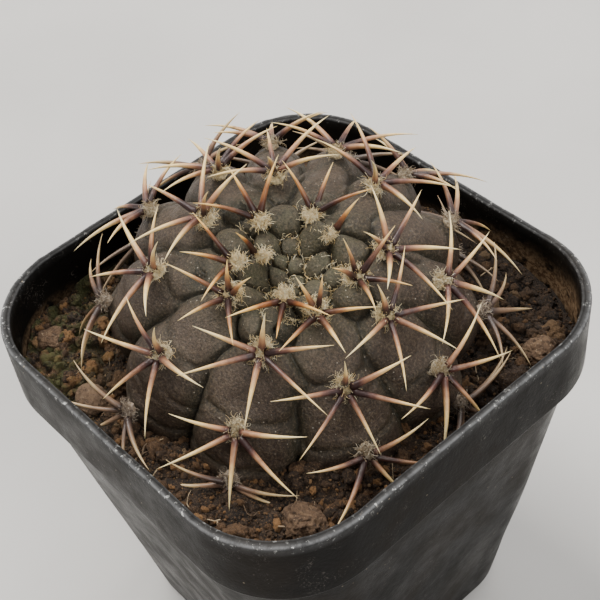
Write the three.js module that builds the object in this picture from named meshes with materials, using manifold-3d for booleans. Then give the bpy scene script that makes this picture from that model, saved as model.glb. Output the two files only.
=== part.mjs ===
// Potted round cactus: a thin square nursery pot, the potting mix in it, one ribbed stem, a wool
// cushion with its spines on every areole, and a few stones and clods lying on the mix.
// Millimetres, +Z up, the origin in the middle of the pot's underside.
import * as THREE from 'three';
import { mergeVertices } from 'three/addons/utils/BufferGeometryUtils.js';
import Module from 'manifold-3d';

const wasm = await Module();
wasm.setup();

// ---- Pot ----
const potHeight = 66;
const rimWidth = 70;
const rimBandStandOut = 1.5;     // how far the band stands out from the body under it
const baseWidth = 49;
const rimCornerRadius = 15.7;
const baseCornerRadius = 11;
const potWall = 1.2;
const floorThickness = 1.6;
const rimBandDepth = 13;
const rimBandStep = 1.2;         // height over which the band steps in to the body
const footHeight = 1.5;          // the middle of the underside stands this far off the table
const footRingWidth = 7;
const drainHoleRadius = 2.8;
const drainHoleSides = 16;
const drainRingRadius = 12;
const drainHoleCount = 6;
const wallSegments = 32;         // faces round the pot, a multiple of four

// ---- Fits ----
const pieceGap = 0.3;            // left between pieces that rest against each other
const spineGap = 0.35;           // least space between two spines, or a spine and the stem

// ---- Potting mix ----
const mixBelowRim = 9;
const mixRelief = 0.9;           // height of its lumps
const mixRings = 5;

// ---- Stem: a flattened ball of ribs, leaning a little ----
const stemRadius = 26.2;
const stemHalfHeight = 17.2;
const stemCentreBelowRim = 4.2;
const leanAngle = 17.4;          // degrees from upright
const leanBearing = -35;         // degrees from +X
const ribDepth = 2.4;
const tubercleHeight = 1.3;
const tubercleSpread = 5.2;
const crownSink = 3.2;
const crownSinkRadius = 8;
const rootNeckRadius = 7;
const rootNeckLength = 6;
const facesPerRib = 4;
const stemRings = 18;

// ---- Areoles ----
// Each rib: its bearing round the stem, the twist of its youngest areole, and how far its areoles
// lie from the crown, all in degrees.
const ribs = [
  { bearing: 14, twist: 2, areoles: [35, 62, 85] },
  { bearing: 45, twist: -14, areoles: [22, 52, 84] },
  { bearing: 74, twist: -20, areoles: [31, 72, 103] },
  { bearing: 96, twist: -17, areoles: [16, 43, 72, 105] },
  { bearing: 119, twist: -10, areoles: [18, 55, 90, 118] },
  { bearing: 143, twist: 0, areoles: [33, 66, 100] },
  { bearing: 167, twist: 0, areoles: [16, 46, 78, 110] },
  { bearing: 193, twist: 0, areoles: [31, 64, 98] },
  { bearing: 224, twist: 7, areoles: [15, 43, 79] },
  { bearing: 260, twist: 2, areoles: [20, 49, 84] },
  { bearing: 299, twist: 16, areoles: [13, 30, 56, 80] },
  { bearing: 340, twist: 4, areoles: [20, 44, 70] },
];
const centreAreole = { bearing: 209, drop: 8 };
const twistFade = 12;            // degrees from the crown over which the twist dies out
const woolLength = 2.3;          // half sizes of a wool cushion
const woolWidth = 1.8;
const woolHeight = 1.3;
const buddingAngle = 19;         // areoles nearer the crown than this have three spines so far
const youngAngle = 26;           // areoles from there to this are young, with all their spines
const halfGrownAngle = 50;       // areoles from there to this keep one upright spine
const buds = ['areole_rib04_1', 'areole_centre'];   // the two youngest, with one spine each
const budWoolShare = 0.75;       // how big their wool is beside the others'

// ---- Spines: each one's turn from straight down its rib, its lift off the stem where it leaves
// the wool, and its length. A young areole's stand up, and two of them lean in to the crown. ----
const grownFan = [
  { turn: 0, lift: 27, length: 9.2 },
  { turn: -56, lift: 27, length: 11.2 },
  { turn: 56, lift: 27, length: 11.2 },
  { turn: -104, lift: 27, length: 9.4 },
  { turn: 104, lift: 27, length: 9.4 },
];
const youngFan = [
  { turn: 0, lift: 46, length: 7.2 },
  { turn: -64, lift: 46, length: 8.2 },
  { turn: 64, lift: 46, length: 8.2 },
  { turn: 145, lift: 66, length: 5.8 },
  { turn: -145, lift: 66, length: 5.8 },
];
const uprightSpine = { turn: 180, lift: 64, length: 6.8 };
const buddingCount = 3;          // spines of the young fan that a budding areole has
const firstSpine = { turn: 0, lift: 62, length: 5.6 };
const spineRootRadius = 0.5;
const spineRootSpread = 0.8;     // how far a spine's root is from the middle of its wool
const spineCurl = 30;            // degrees that it bends back on its way out
const turnSpread = 9;            // how far spines stray, in degrees and as a share of length
const liftSpread = 5;
const lengthSpread = 0.09;
const spineSides = 3;
const spineSteps = 3;

// ---- Stones and clods on the mix: how far each lies from the pot's walls on its two sides ----
const stones = [
  { name: 'stone_left', x: -1, fromX: 20.8, y: -1, fromY: 5.2, size: 2.6 },
  { name: 'clod_front', x: 1, fromX: 8.3, y: -1, fromY: 12.3, size: 2.9 },
  { name: 'clod_left_corner', x: -1, fromX: 6.6, y: -1, fromY: 7.6, size: 2.4 },
  { name: 'clod_right_corner', x: 1, fromX: 5.6, y: 1, fromY: 11.4, size: 2.6 },
  { name: 'clod_back_corner', x: -1, fromX: 8.2, y: 1, fromY: 6.6, size: 2.5 },
];
const stoneSunk = 0.45;          // share of a stone's size below the mix's surface
const stoneFlatness = 0.75;
const stoneLumps = 0.12;         // share of a stone's size by which its corners stray

const colours = {
  pot: 0x1d1b1a,
  mix: 0x6b5138,
  stem: 0x6d6a45,
  areole: 0xc9b68a,
  stone: 0x8b7a62,
};

const degrees = Math.PI / 180;

// ---- Small helpers ----

// A repeatable scattered number from -1 to 1 for any pair of whole numbers.
function sway(a, b) {
  const value = Math.sin(a * 12.9898 + b * 78.233) * 43758.5453;
  return 2 * (value - Math.floor(value)) - 1;
}

function toSolid(geometry) {
  const bare = geometry.clone();
  bare.deleteAttribute('normal');
  bare.deleteAttribute('uv');
  const merged = mergeVertices(bare, 1e-5);
  return new wasm.Manifold(new wasm.Mesh({
    numProp: 3,
    vertProperties: new Float32Array(merged.attributes.position.array),
    triVerts: new Uint32Array(merged.index.array),
  }));
}

function toGeometry(solid) {
  const mesh = solid.getMesh();
  const geometry = new THREE.BufferGeometry();
  geometry.setAttribute('position', new THREE.BufferAttribute(mesh.vertProperties, 3));
  geometry.setIndex(new THREE.BufferAttribute(mesh.triVerts, 1));
  geometry.computeVertexNormals();
  return geometry;
}

// Moves every vertex of a geometry to where the function says.
function reshape(geometry, place) {
  const positions = geometry.attributes.position;
  const point = new THREE.Vector3();
  for (let i = 0; i < positions.count; i += 1) {
    point.fromBufferAttribute(positions, i);
    place(point);
    positions.setXYZ(i, point.x, point.y, point.z);
  }
  return geometry;
}

// A profile of [radius, height] points turned about +Z.
function turned(profile, segments) {
  const points = profile.map(([radius, height]) => new THREE.Vector2(radius, height));
  return new THREE.LatheGeometry(points, segments).rotateX(Math.PI / 2);
}

const group = new THREE.Group();

function addPiece(name, geometry, color, roughness) {
  const material = new THREE.MeshStandardMaterial({ color, roughness, metalness: 0 });
  const mesh = new THREE.Mesh(geometry, material);
  mesh.name = name;
  group.add(mesh);
}

// ---- Rounded square sections ----

// The corner radius of a section of the pot, from its half width.
function cornerRadiusAt(halfWidth) {
  const share = (halfWidth - baseWidth / 2) / (rimWidth / 2 - baseWidth / 2);
  const radius = baseCornerRadius + share * (rimCornerRadius - baseCornerRadius);
  return Math.min(Math.max(radius, 0), halfWidth);
}

// A point on a rounded square, where turn runs from 0 to 1 once round it.
const cornerShare = 0.75;        // share of the points in each quadrant that lie on its corner
function squarePoint(halfWidth, turn) {
  const radius = cornerRadiusAt(halfWidth);
  const straight = halfWidth - radius;
  const quadrant = Math.floor(turn * 4 + 1e-9);
  const along = turn * 4 - quadrant;
  const sideShare = (1 - cornerShare) / 2;
  const point = new THREE.Vector2();
  if (along < sideShare) {
    point.set(halfWidth, straight * along / sideShare);
  } else if (along > 1 - sideShare) {
    point.set(straight * (1 - along) / sideShare, halfWidth);
  } else {
    const angle = (along - sideShare) / cornerShare * Math.PI / 2;
    point.set(straight + radius * Math.cos(angle), straight + radius * Math.sin(angle));
  }
  return point.rotateAround(new THREE.Vector2(), quadrant * Math.PI / 2);
}

// A turned profile whose rings are rounded squares with the profile's radius as half width.
function squareTurned(profile) {
  return reshape(turned(profile, wallSegments), (point) => {
    const halfWidth = Math.hypot(point.x, point.y);
    if (halfWidth < 1e-6) return;
    const turn = (Math.atan2(point.y, point.x) / (2 * Math.PI) + 1) % 1;
    const onSquare = squarePoint(halfWidth, turn);
    point.x = onSquare.x;
    point.y = onSquare.y;
  });
}

// ---- Pot ----

const bandBottom = potHeight - rimBandDepth;

// Half width of the pot's outside below the band, at a height.
function bodyHalfWidth(height) {
  const top = rimWidth - 2 * rimBandStandOut;
  return THREE.MathUtils.lerp(baseWidth, top, height / bandBottom) / 2;
}

const floorTop = footHeight + floorThickness;

function makePot() {
  const rimHalf = rimWidth / 2;
  const footInner = baseWidth / 2 - footRingWidth;
  const shell = squareTurned([
    [0, footHeight],
    [footInner, footHeight],
    [footInner, 0],
    [baseWidth / 2, 0],
    [bodyHalfWidth(bandBottom), bandBottom],
    [rimHalf, bandBottom + rimBandStep],
    [rimHalf, potHeight],
    [rimHalf - potWall, potHeight],
    [rimHalf - potWall, bandBottom + rimBandStep],
    [bodyHalfWidth(bandBottom) - potWall, bandBottom],
    [bodyHalfWidth(floorTop) - potWall, floorTop],
    [0, floorTop],
  ]);
  let solid = toSolid(shell);
  for (let i = 0; i < drainHoleCount; i += 1) {
    const angle = 2 * Math.PI * (i + 0.5) / drainHoleCount;
    const hole = new THREE.CylinderGeometry(drainHoleRadius, drainHoleRadius, 2 * floorTop, drainHoleSides);
    hole.rotateX(Math.PI / 2);
    hole.translate(drainRingRadius * Math.cos(angle), drainRingRadius * Math.sin(angle), floorTop);
    solid = solid.subtract(toSolid(hole));
  }
  return solid;
}

// ---- Surface of the mix ----

const mixTop = potHeight - mixBelowRim;

function mixSurface(x, y) {
  const lump = Math.sin(x * 0.9 + 1) * Math.cos(y * 0.8) + Math.sin(x * 0.35 - y * 0.5);
  return mixTop + mixRelief * lump / 2;
}

// ---- Places of the stones ----

function stoneCentre(stone) {
  const inside = rimWidth / 2 - potWall;
  const rest = stone.size * stoneFlatness * (1 - 2 * stoneSunk);
  return new THREE.Vector3(
    stone.x * (inside - stone.fromX),
    stone.y * (inside - stone.fromY),
    mixTop + rest,
  );
}

// ---- Stem ----

const stemCentre = new THREE.Vector3(0, 0, potHeight - stemCentreBelowRim);
const leanAxis = new THREE.Vector3(-Math.sin(leanBearing * degrees), Math.cos(leanBearing * degrees), 0);
const leaning = new THREE.Matrix4()
  .makeRotationAxis(leanAxis, leanAngle * degrees)
  .setPosition(stemCentre);

// A point on the smooth ball under the ribs, and its outward normal, in the stem's own frame.
// drop is the angle from the crown and bearing the angle round it, in degrees.
function ballPoint(bearing, drop) {
  const out = Math.sin(drop * degrees);
  const up = Math.cos(drop * degrees);
  const x = Math.cos(bearing * degrees);
  const y = Math.sin(bearing * degrees);
  return new THREE.Vector3(stemRadius * out * x, stemRadius * out * y, stemHalfHeight * up);
}

function ballNormal(point) {
  return new THREE.Vector3(
    point.x / stemRadius ** 2,
    point.y / stemRadius ** 2,
    point.z / stemHalfHeight ** 2,
  ).normalize();
}

// Every areole: its name, bearing, drop and the rib that it is on.
function listAreoles() {
  const list = [];
  ribs.forEach((rib, ribIndex) => {
    rib.areoles.forEach((drop, order) => {
      const twist = rib.twist * Math.exp(-(drop - rib.areoles[0]) / twistFade);
      const name = `areole_rib${String(ribIndex + 1).padStart(2, '0')}_${order + 1}`;
      list.push({ name, bearing: rib.bearing + twist, drop });
    });
  });
  list.push({ name: 'areole_centre', bearing: centreAreole.bearing, drop: centreAreole.drop });
  return list.map((areole) => {
    const point = ballPoint(areole.bearing, areole.drop);
    return { ...areole, point, normal: ballNormal(point) };
  });
}
const areoles = listAreoles();

// The bearing at a place counted in ribs: 0 on the first crest, 0.5 in the furrow after it.
function ribBearing(place) {
  const index = Math.floor(place);
  const from = ribs[index % ribs.length].bearing;
  const to = ribs[(index + 1) % ribs.length].bearing;
  const wrapped = to > from ? to : to + 360;
  return from + (wrapped - from) * (place - index);
}

// 1 on the crest of a rib and 0 in the furrow between two.
function crest(bearing) {
  const turn = ((bearing - ribs[0].bearing) % 360 + 360) % 360 + ribs[0].bearing;
  const index = ribs.findLastIndex((rib) => rib.bearing <= turn);
  const [low, high] = [ribBearing(index), ribBearing(index + 1)];
  const width = high > low ? high - low : high + 360 - low;
  return Math.abs(Math.cos(Math.PI * (turn - low) / width));
}

// How far the stem's surface stands off the smooth ball.
function swelling(bearing, drop) {
  const point = ballPoint(bearing, drop);
  const girth = Math.sin(drop * degrees);
  let height = ribDepth * (crest(bearing) - 1) * girth;
  for (const areole of areoles) {
    const share = point.distanceTo(areole.point) / tubercleSpread;
    height += tubercleHeight * Math.exp(-share * share);
  }
  const fromAxis = stemRadius * girth;
  if (drop < 90) height -= crownSink * Math.exp(-((fromAxis / crownSinkRadius) ** 2));
  return height;
}

// The stem's solid, grown outwards by a margin. Its underside narrows to the root neck.
const neckDrop = 180 - Math.asin(rootNeckRadius / stemRadius) / degrees;
const neckEnd = 360;             // stands for the root neck's end in a profile of angles
function makeStem(margin) {
  const profile = [[0, neckEnd]];
  for (let i = stemRings; i >= 0; i -= 1) {
    const drop = neckDrop * i / stemRings;
    profile.push([Math.sin(drop * degrees), drop]);
  }
  const geometry = turned(profile, ribs.length * facesPerRib);
  reshape(geometry, (point) => {
    const drop = point.z;
    const turn = (Math.atan2(point.y, point.x) / (2 * Math.PI) + 1) % 1;
    const bearing = ribBearing(Math.round(turn * ribs.length * facesPerRib) / facesPerRib);
    if (drop === neckEnd) {
      point.set(0, 0, -stemHalfHeight - rootNeckLength - margin);
      return;
    }
    const base = ballPoint(bearing, drop);
    point.copy(base).addScaledVector(ballNormal(base), swelling(bearing, drop) + margin);
  });
  return toSolid(geometry.applyMatrix4(leaning));
}

// ---- Spines ----

// Directions on the stem at an areole: outwards, down its rib, and across.
function areoleAxes(areole) {
  const out = areole.normal;
  const bearing = areole.bearing * degrees;
  const across = new THREE.Vector3(-Math.sin(bearing), Math.cos(bearing), 0);
  const down = new THREE.Vector3().crossVectors(across, out);
  return { out, across, down };
}

function areoleTop(areole) {
  return areole.point.clone().addScaledVector(areole.normal, swelling(areole.bearing, areole.drop));
}

// The centre line of a spine: it leaves at a lift off the stem and bends back as it goes.
function spinePath(areole, turn, lift, length) {
  const { out, across, down } = areoleAxes(areole);
  const along = down.clone().multiplyScalar(Math.cos(turn * degrees));
  along.addScaledVector(across, Math.sin(turn * degrees));
  const root = areoleTop(areole).addScaledVector(out, pieceGap + woolHeight / 2);
  const points = [root.addScaledVector(along, spineRootSpread)];
  for (let i = 0; i < spineSteps; i += 1) {
    const angle = (lift - spineCurl * (i + 0.5) / spineSteps) * degrees;
    const step = along.clone().multiplyScalar(Math.cos(angle)).addScaledVector(out, Math.sin(angle));
    points.push(points[i].clone().addScaledVector(step, length / spineSteps));
  }
  return { areole, points };
}

function spineRadiusAt(index) {
  return spineRootRadius * (1 - index / spineSteps);
}

// Height of a point above the stem's surface, close enough for points near it.
function heightAboveStem(point) {
  const scaled = new THREE.Vector3(point.x / stemRadius, point.y / stemRadius, point.z / stemHalfHeight);
  const drop = Math.acos(scaled.z / scaled.length()) / degrees;
  const bearing = Math.atan2(point.y, point.x) / degrees;
  const base = ballPoint(bearing, drop);
  return point.clone().sub(base).dot(ballNormal(base)) - swelling(bearing, drop);
}

// Least distance between the segments a-b and c-d, found by closing in from both ends.
const segmentClosing = 12;
function segmentDistance(a, b, c, d) {
  const first = new THREE.Line3(a, b);
  const second = new THREE.Line3(c, d);
  const onFirst = first.getCenter(new THREE.Vector3());
  const onSecond = new THREE.Vector3();
  for (let i = 0; i < segmentClosing; i += 1) {
    second.closestPointToPoint(onFirst, true, onSecond);
    first.closestPointToPoint(onSecond, true, onFirst);
  }
  return onFirst.distanceTo(onSecond);
}

// Space from a point to the mix under it, to the stones on it and to the pot's wall beside it.
function spaceInPot(point) {
  const placed = point.clone().applyMatrix4(leaning);
  const { x, y, z } = placed;
  const half = rimWidth / 2 - potWall;
  const radius = rimCornerRadius - potWall;
  const outX = Math.abs(x) - half + radius;
  const outY = Math.abs(y) - half + radius;
  const pastCorner = Math.hypot(Math.max(outX, 0), Math.max(outY, 0));
  const pastSide = Math.min(Math.max(outX, outY), 0);
  const fromWall = Math.max(radius - pastCorner - pastSide, z - potHeight);
  const fromStones = stones.map((stone) => {
    return placed.distanceTo(stoneCentre(stone)) - stone.size * (1 + stoneLumps);
  });
  return Math.min(fromWall, z - mixSurface(x, y), ...fromStones);
}

// Roots further apart than this belong to spines that can't meet.
const farRoots = 3 * Math.max(...grownFan.map((spine) => spine.length));

// The least space round a spine: to the pot, the mix, the stem, other cushions and other spines.
function spaceRound(path, placed) {
  let space = Infinity;
  for (let i = 0; i < spineSteps; i += 1) {
    const radius = spineRadiusAt(i);
    const [from, to] = [path.points[i], path.points[i + 1]];
    if (i > 0) space = Math.min(space, heightAboveStem(from) - radius);
    space = Math.min(space, heightAboveStem(to) - spineRadiusAt(i + 1));
    space = Math.min(space, spaceInPot(to) - spineRadiusAt(i + 1));
    for (const other of areoles) {
      if (other === path.areole) continue;
      const wool = segmentDistance(from, to, areoleTop(other), areoleTop(other));
      space = Math.min(space, wool - woolLength - radius);
    }
    for (const other of placed) {
      if (other.areole === path.areole) continue;
      if (other.points[0].distanceTo(from) > farRoots) continue;
      for (let j = 0; j < spineSteps; j += 1) {
        const apart = segmentDistance(from, to, other.points[j], other.points[j + 1]);
        space = Math.min(space, apart - radius - spineRadiusAt(j));
      }
    }
  }
  return space;
}

// Tries a spine where it is meant to go, then ever further aside, then shorter, until it is clear
// of the rest.
const liftTries = [0, 7, -7, 14, -12, 21, 28];
const turnTries = [0, 8, -8, 16, -16, 24, -24];
const lengthTries = [1, 0.85, 0.7];
const tries = lengthTries.flatMap((share) => {
  return turnTries.flatMap((turn) => liftTries.map((lift) => ({ share, turn, lift })));
});
function placeSpine(areole, wanted, placed) {
  let best = null;
  let bestSpace = -Infinity;
  for (const { share, turn, lift } of tries) {
    const path = spinePath(areole, wanted.turn + turn, wanted.lift + lift, wanted.length * share);
    const space = spaceRound(path, placed);
    if (space >= spineGap) return path;
    if (space > bestSpace) [best, bestSpace] = [path, space];
  }
  return best;
}

// The spines that an areole has at its age.
function fanOf(areole) {
  if (buds.includes(areole.name)) return [firstSpine];
  if (areole.drop < buddingAngle) return youngFan.slice(0, buddingCount);
  if (areole.drop < youngAngle) return youngFan;
  return areole.drop < halfGrownAngle ? [...grownFan, uprightSpine] : grownFan;
}

// Places every spine of every areole, the youngest areoles first.
function placeSpines() {
  const placed = [];
  const inOrder = [...areoles].sort((a, b) => a.drop - b.drop);
  inOrder.forEach((areole) => {
    const seed = areoles.indexOf(areole) + 1;
    fanOf(areole).forEach((spine, i) => {
      const wanted = {
        turn: spine.turn + turnSpread * sway(seed, i),
        lift: spine.lift + liftSpread * sway(seed, i + grownFan.length),
        length: spine.length * (1 + lengthSpread * sway(seed, i + 2 * grownFan.length)),
      };
      placed.push(placeSpine(areole, wanted, placed));
    });
  });
  return placed;
}

// A cone bent along a spine's centre line, grown outwards by a margin.
const tipMarginShare = 4;        // the margins that a tip needs lengthways to grow all round
function makeSpine({ points }, margin) {
  const geometry = new THREE.ConeGeometry(spineRootRadius, 1, spineSides, spineSteps);
  const curve = points.map((point) => point.clone());
  reshape(geometry, (vertex) => {
    const index = Math.round((vertex.y + 0.5) * spineSteps);
    const before = curve[Math.max(index - 1, 0)];
    const after = curve[Math.min(index + 1, spineSteps)];
    const ahead = after.clone().sub(before).normalize();
    const facing = new THREE.Quaternion().setFromUnitVectors(new THREE.Vector3(0, 1, 0), ahead);
    const grown = 1 + margin / spineRadiusAt(Math.min(index, spineSteps - 1));
    vertex.setY(0).multiplyScalar(grown).applyQuaternion(facing).add(curve[index]);
    if (index === spineSteps) vertex.addScaledVector(ahead, tipMarginShare * margin);
  });
  return toSolid(geometry.applyMatrix4(leaning));
}

// The wool cushion of an areole, an oval lying on its rib, grown outwards by a margin.
const woolSegments = 6;
const woolRings = 3;
function makeWool(areole, margin) {
  const { out, across, down } = areoleAxes(areole);
  const geometry = new THREE.SphereGeometry(1, woolSegments, woolRings);
  geometry.rotateX(Math.PI / 2);
  const share = buds.includes(areole.name) ? budWoolShare : 1;
  const halfSizes = [woolWidth, woolLength, woolHeight].map((size) => size * share + margin);
  geometry.scale(...halfSizes);
  const facing = new THREE.Matrix4().makeBasis(across, down.clone().negate(), out);
  facing.setPosition(areoleTop(areole).addScaledVector(out, pieceGap));
  return toSolid(geometry.applyMatrix4(facing).applyMatrix4(leaning));
}

// A wool cushion joined with the spines that grow from it, grown outwards by a margin.
function makeAreole(areole, spines, stemWithGap, margin) {
  let solid = makeWool(areole, margin).subtract(stemWithGap);
  spines.filter((spine) => spine.areole === areole).forEach((spine) => {
    solid = solid.add(makeSpine(spine, margin));
  });
  return solid;
}

// ---- Stones ----

function makeStone(stone, index, margin) {
  const geometry = new THREE.IcosahedronGeometry(1, 1);
  reshape(geometry, (point) => {
    const corner = Math.round(40 * (point.x + 2 * point.y + 3 * point.z));
    point.multiplyScalar(stone.size * (1 + stoneLumps * sway(corner, index)) + margin);
    point.z *= stoneFlatness;
  });
  const { x, y, z } = stoneCentre(stone);
  geometry.translate(x, y, z);
  return toSolid(geometry);
}

// ---- Potting mix ----

// Half width of the mix at a height: the pot's inside less the gap.
function mixHalfWidth(height) {
  const outside = height > bandBottom + rimBandStep ? rimWidth / 2 : bodyHalfWidth(height);
  return outside - potWall - pieceGap;
}

// The mix closes round whatever stands in it, leaving the gap.
function makeMix(standingIn) {
  const floor = floorTop + pieceGap;
  const shoulder = bandBottom + rimBandStep;
  const outerHalf = mixHalfWidth(mixTop);
  const profile = [
    [0, floor],
    [mixHalfWidth(floor), floor],
    [mixHalfWidth(bandBottom), bandBottom],
    [rimWidth / 2 - potWall - pieceGap, shoulder + pieceGap],
  ];
  for (let ring = 0; ring <= mixRings; ring += 1) {
    profile.push([outerHalf * (1 - ring / mixRings), mixTop]);
  }
  const geometry = reshape(squareTurned(profile), (point) => {
    if (point.z === mixTop) point.z = mixSurface(point.x, point.y);
  });
  return standingIn.reduce((solid, piece) => solid.subtract(piece), toSolid(geometry));
}

// ---- Assembly ----

const stemWithGap = makeStem(pieceGap);
const spines = placeSpines();
const standingIn = [
  stemWithGap,
  ...areoles.map((areole) => makeAreole(areole, spines, stemWithGap, pieceGap)),
  ...stones.map((stone, index) => makeStone(stone, index, pieceGap)),
];

addPiece('pot', toGeometry(makePot()), colours.pot, 0.35);
addPiece('potting_mix', toGeometry(makeMix(standingIn)), colours.mix, 0.95);
addPiece('cactus_stem', toGeometry(makeStem(0)), colours.stem, 0.7);
areoles.forEach((areole) => {
  addPiece(areole.name, toGeometry(makeAreole(areole, spines, stemWithGap, 0)), colours.areole, 0.8);
});
stones.forEach((stone, index) => {
  addPiece(stone.name, toGeometry(makeStone(stone, index, 0)), colours.stone, 0.9);
});

export default group;
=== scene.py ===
import math

import bmesh
import bpy
import numpy as np
from mathutils import Matrix, Vector


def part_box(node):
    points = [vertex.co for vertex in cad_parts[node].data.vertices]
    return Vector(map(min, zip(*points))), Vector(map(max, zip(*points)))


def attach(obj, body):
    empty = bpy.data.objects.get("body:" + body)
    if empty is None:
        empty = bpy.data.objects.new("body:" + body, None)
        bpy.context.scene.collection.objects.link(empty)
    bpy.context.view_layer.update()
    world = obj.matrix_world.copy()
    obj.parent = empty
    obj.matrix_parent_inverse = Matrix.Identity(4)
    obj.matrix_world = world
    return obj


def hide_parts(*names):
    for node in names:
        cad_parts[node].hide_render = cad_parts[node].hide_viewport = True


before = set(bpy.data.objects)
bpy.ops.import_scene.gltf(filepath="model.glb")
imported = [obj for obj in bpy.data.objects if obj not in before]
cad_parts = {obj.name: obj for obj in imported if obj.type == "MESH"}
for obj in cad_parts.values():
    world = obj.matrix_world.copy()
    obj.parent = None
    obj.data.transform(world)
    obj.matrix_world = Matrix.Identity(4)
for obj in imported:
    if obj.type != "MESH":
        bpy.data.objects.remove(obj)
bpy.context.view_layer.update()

# Everything is worked out in millimetres, in the CAD model's frame, and scaled to metres when a
# mesh is made.
MM = 0.001

# ---- Pot and mix. The pot's outside size comes from the frame ----
POT_HIGH = np.array(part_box("pot")[1]) / MM
POT_HEIGHT = POT_HIGH[2]
RIM_WIDTH = 2 * POT_HIGH[0]
BASE_WIDTH = 49.0
RIM_CORNER_RADIUS = 15.7
BASE_CORNER_RADIUS = 11.0
POT_WALL = 1.2
FLOOR_THICKNESS = 1.6
BAND_DEPTH = 13.0
BAND_STEP = 1.2
BAND_STAND_OUT = 1.5
FOOT_HEIGHT = 1.5
FOOT_RING_WIDTH = 7.0
DRAIN_HOLE_RADIUS = 2.8
DRAIN_RING_RADIUS = 12.0
DRAIN_HOLE_COUNT = 6
MIX_BELOW_RIM = 9.0
GAP = 0.3

# ---- Stem ----
STEM_RADIUS = 26.2
STEM_HALF_HEIGHT = 17.2
STEM_CENTRE_BELOW_RIM = 4.2
LEAN_ANGLE = math.radians(17.4)
LEAN_BEARING = math.radians(-35.0)
RIB_DEPTH = 2.4
TUBERCLE_HEIGHT = 1.3
TUBERCLE_SPREAD = 5.2
CROWN_SINK = 3.2
CROWN_SINK_RADIUS = 8.0
ROOT_NECK_RADIUS = 7.0
ROOT_NECK_LENGTH = 6.0
STEM_AROUND = 480
STEM_ROWS = 196

# Each rib: its bearing round the stem, the twist of its youngest areole, and how far its areoles
# lie from the crown, all in degrees.
RIBS = [
    (14, 2, [35, 62, 85]),
    (45, -14, [22, 52, 84]),
    (74, -20, [31, 72, 103]),
    (96, -17, [16, 43, 72, 105]),
    (119, -10, [18, 55, 90, 118]),
    (143, 0, [33, 66, 100]),
    (167, 0, [16, 46, 78, 110]),
    (193, 0, [31, 64, 98]),
    (224, 7, [15, 43, 79]),
    (260, 2, [20, 49, 84]),
    (299, 16, [13, 30, 56, 80]),
    (340, 4, [20, 44, 70]),
]
CENTRE_AREOLE = (209, 8)
TWIST_FADE = 12.0
BUDDING_ANGLE = 19.0
YOUNG_ANGLE = 26.0
HALF_GROWN_ANGLE = 50.0
BUDS = ("areole_rib04_1", "areole_centre")
BUD_WOOL_SHARE = 0.5
BUDDING_WOOL_SHARE = 0.72

# Egg-shaped young tubercles in the crown that have no spines yet: bearing, drop from the crown's
# middle in degrees, and radius.
CROWN_EGGS = [
    (139, 16, 2.8), (94, 12, 2.4), (80, 25, 3.0), (57, 20, 2.8), (50, 10, 2.1), (110, 24, 2.9),
    (174, 9, 2.2), (201, 19, 2.7), (246, 11, 2.1), (268, 16, 2.3), (85, 3, 1.7), (170, 26, 2.9),
    (311, 21, 2.8), (318, 8, 2.0), (5, 12, 2.2), (341, 15, 2.1), (20, 23, 2.8), (290, 22, 2.5),
    (228, 27, 2.8), (272, 3.5, 1.6), (32, 15, 2.1), (160, 3, 1.5), (130, 8, 1.8), (355, 5, 1.5),
]

# ---- Wool and spines ----
WOOL_LENGTH = 2.3
WOOL_WIDTH = 1.8
WOOL_HEIGHT = 1.3
# Each spine of an areole: its turn from straight down the rib, its lift and its length.
GROWN_FAN = [(0, 27, 9.2), (-56, 27, 11.2), (56, 27, 11.2), (-104, 27, 9.4), (104, 27, 9.4)]
YOUNG_FAN = [(0, 46, 7.2), (-64, 46, 8.2), (64, 46, 8.2), (145, 66, 5.8), (-145, 66, 5.8)]
UPRIGHT_SPINE = (180, 64, 6.8)
BUDDING_COUNT = 3
FIRST_SPINE = (0, 62, 5.6)
SPINE_ROOT_RADIUS = 0.5
SPINE_ROOT_SPREAD = 0.8
SPINE_GAP = 0.35
SPINE_CURL = 30.0
TURN_SPREAD = 9.0
LIFT_SPREAD = 5.0
LENGTH_SPREAD = 0.09
CAD_STEPS = 3

DEGREES = math.pi / 180
rng = np.random.default_rng(7)


# ---- Meshes ----

def mesh_object(name, vertices, face_sets, smooth=True, attributes=None):
    """A mesh object from vertices in millimetres and arrays of faces, one array for each face size."""
    face_sets = [np.asarray(faces, dtype=np.int32) for faces in face_sets if len(faces)]
    loops = np.concatenate([faces.ravel() for faces in face_sets])
    sizes = np.concatenate([np.full(len(faces), faces.shape[1]) for faces in face_sets])
    starts = np.concatenate([[0], np.cumsum(sizes)[:-1]])
    mesh = bpy.data.meshes.new(name)
    mesh.vertices.add(len(vertices))
    mesh.vertices.foreach_set("co", (np.asarray(vertices) * MM).astype(np.float32).ravel())
    mesh.loops.add(len(loops))
    mesh.loops.foreach_set("vertex_index", loops)
    mesh.polygons.add(len(sizes))
    mesh.polygons.foreach_set("loop_start", starts.astype(np.int32))
    mesh.polygons.foreach_set("use_smooth", np.full(len(sizes), smooth))
    for key, values in (attributes or {}).items():
        layer = mesh.attributes.new(key, "FLOAT", "POINT")
        layer.data.foreach_set("value", np.asarray(values, dtype=np.float32))
    mesh.update(calc_edges=True)
    mesh.validate()
    made = bpy.data.objects.new(name, mesh)
    bpy.context.scene.collection.objects.link(made)
    return made


def grid_faces(rows, columns):
    """Quads between rows of points, going round each row."""
    column = np.arange(columns)[None, :]
    after = (column + 1) % columns
    here = np.arange(rows - 1)[:, None] * columns
    quads = np.stack([here + column, here + after, here + columns + after, here + columns + column], -1)
    return quads.reshape(-1, 4)


def fan_faces(centre, ring, flip=False):
    """Triangles from a centre point to a closed ring of points."""
    ring = np.asarray(ring)
    after = np.roll(ring, -1)
    fan = np.stack([np.full(len(ring), centre), ring, after], -1)
    return fan[:, ::-1] if flip else fan


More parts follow.
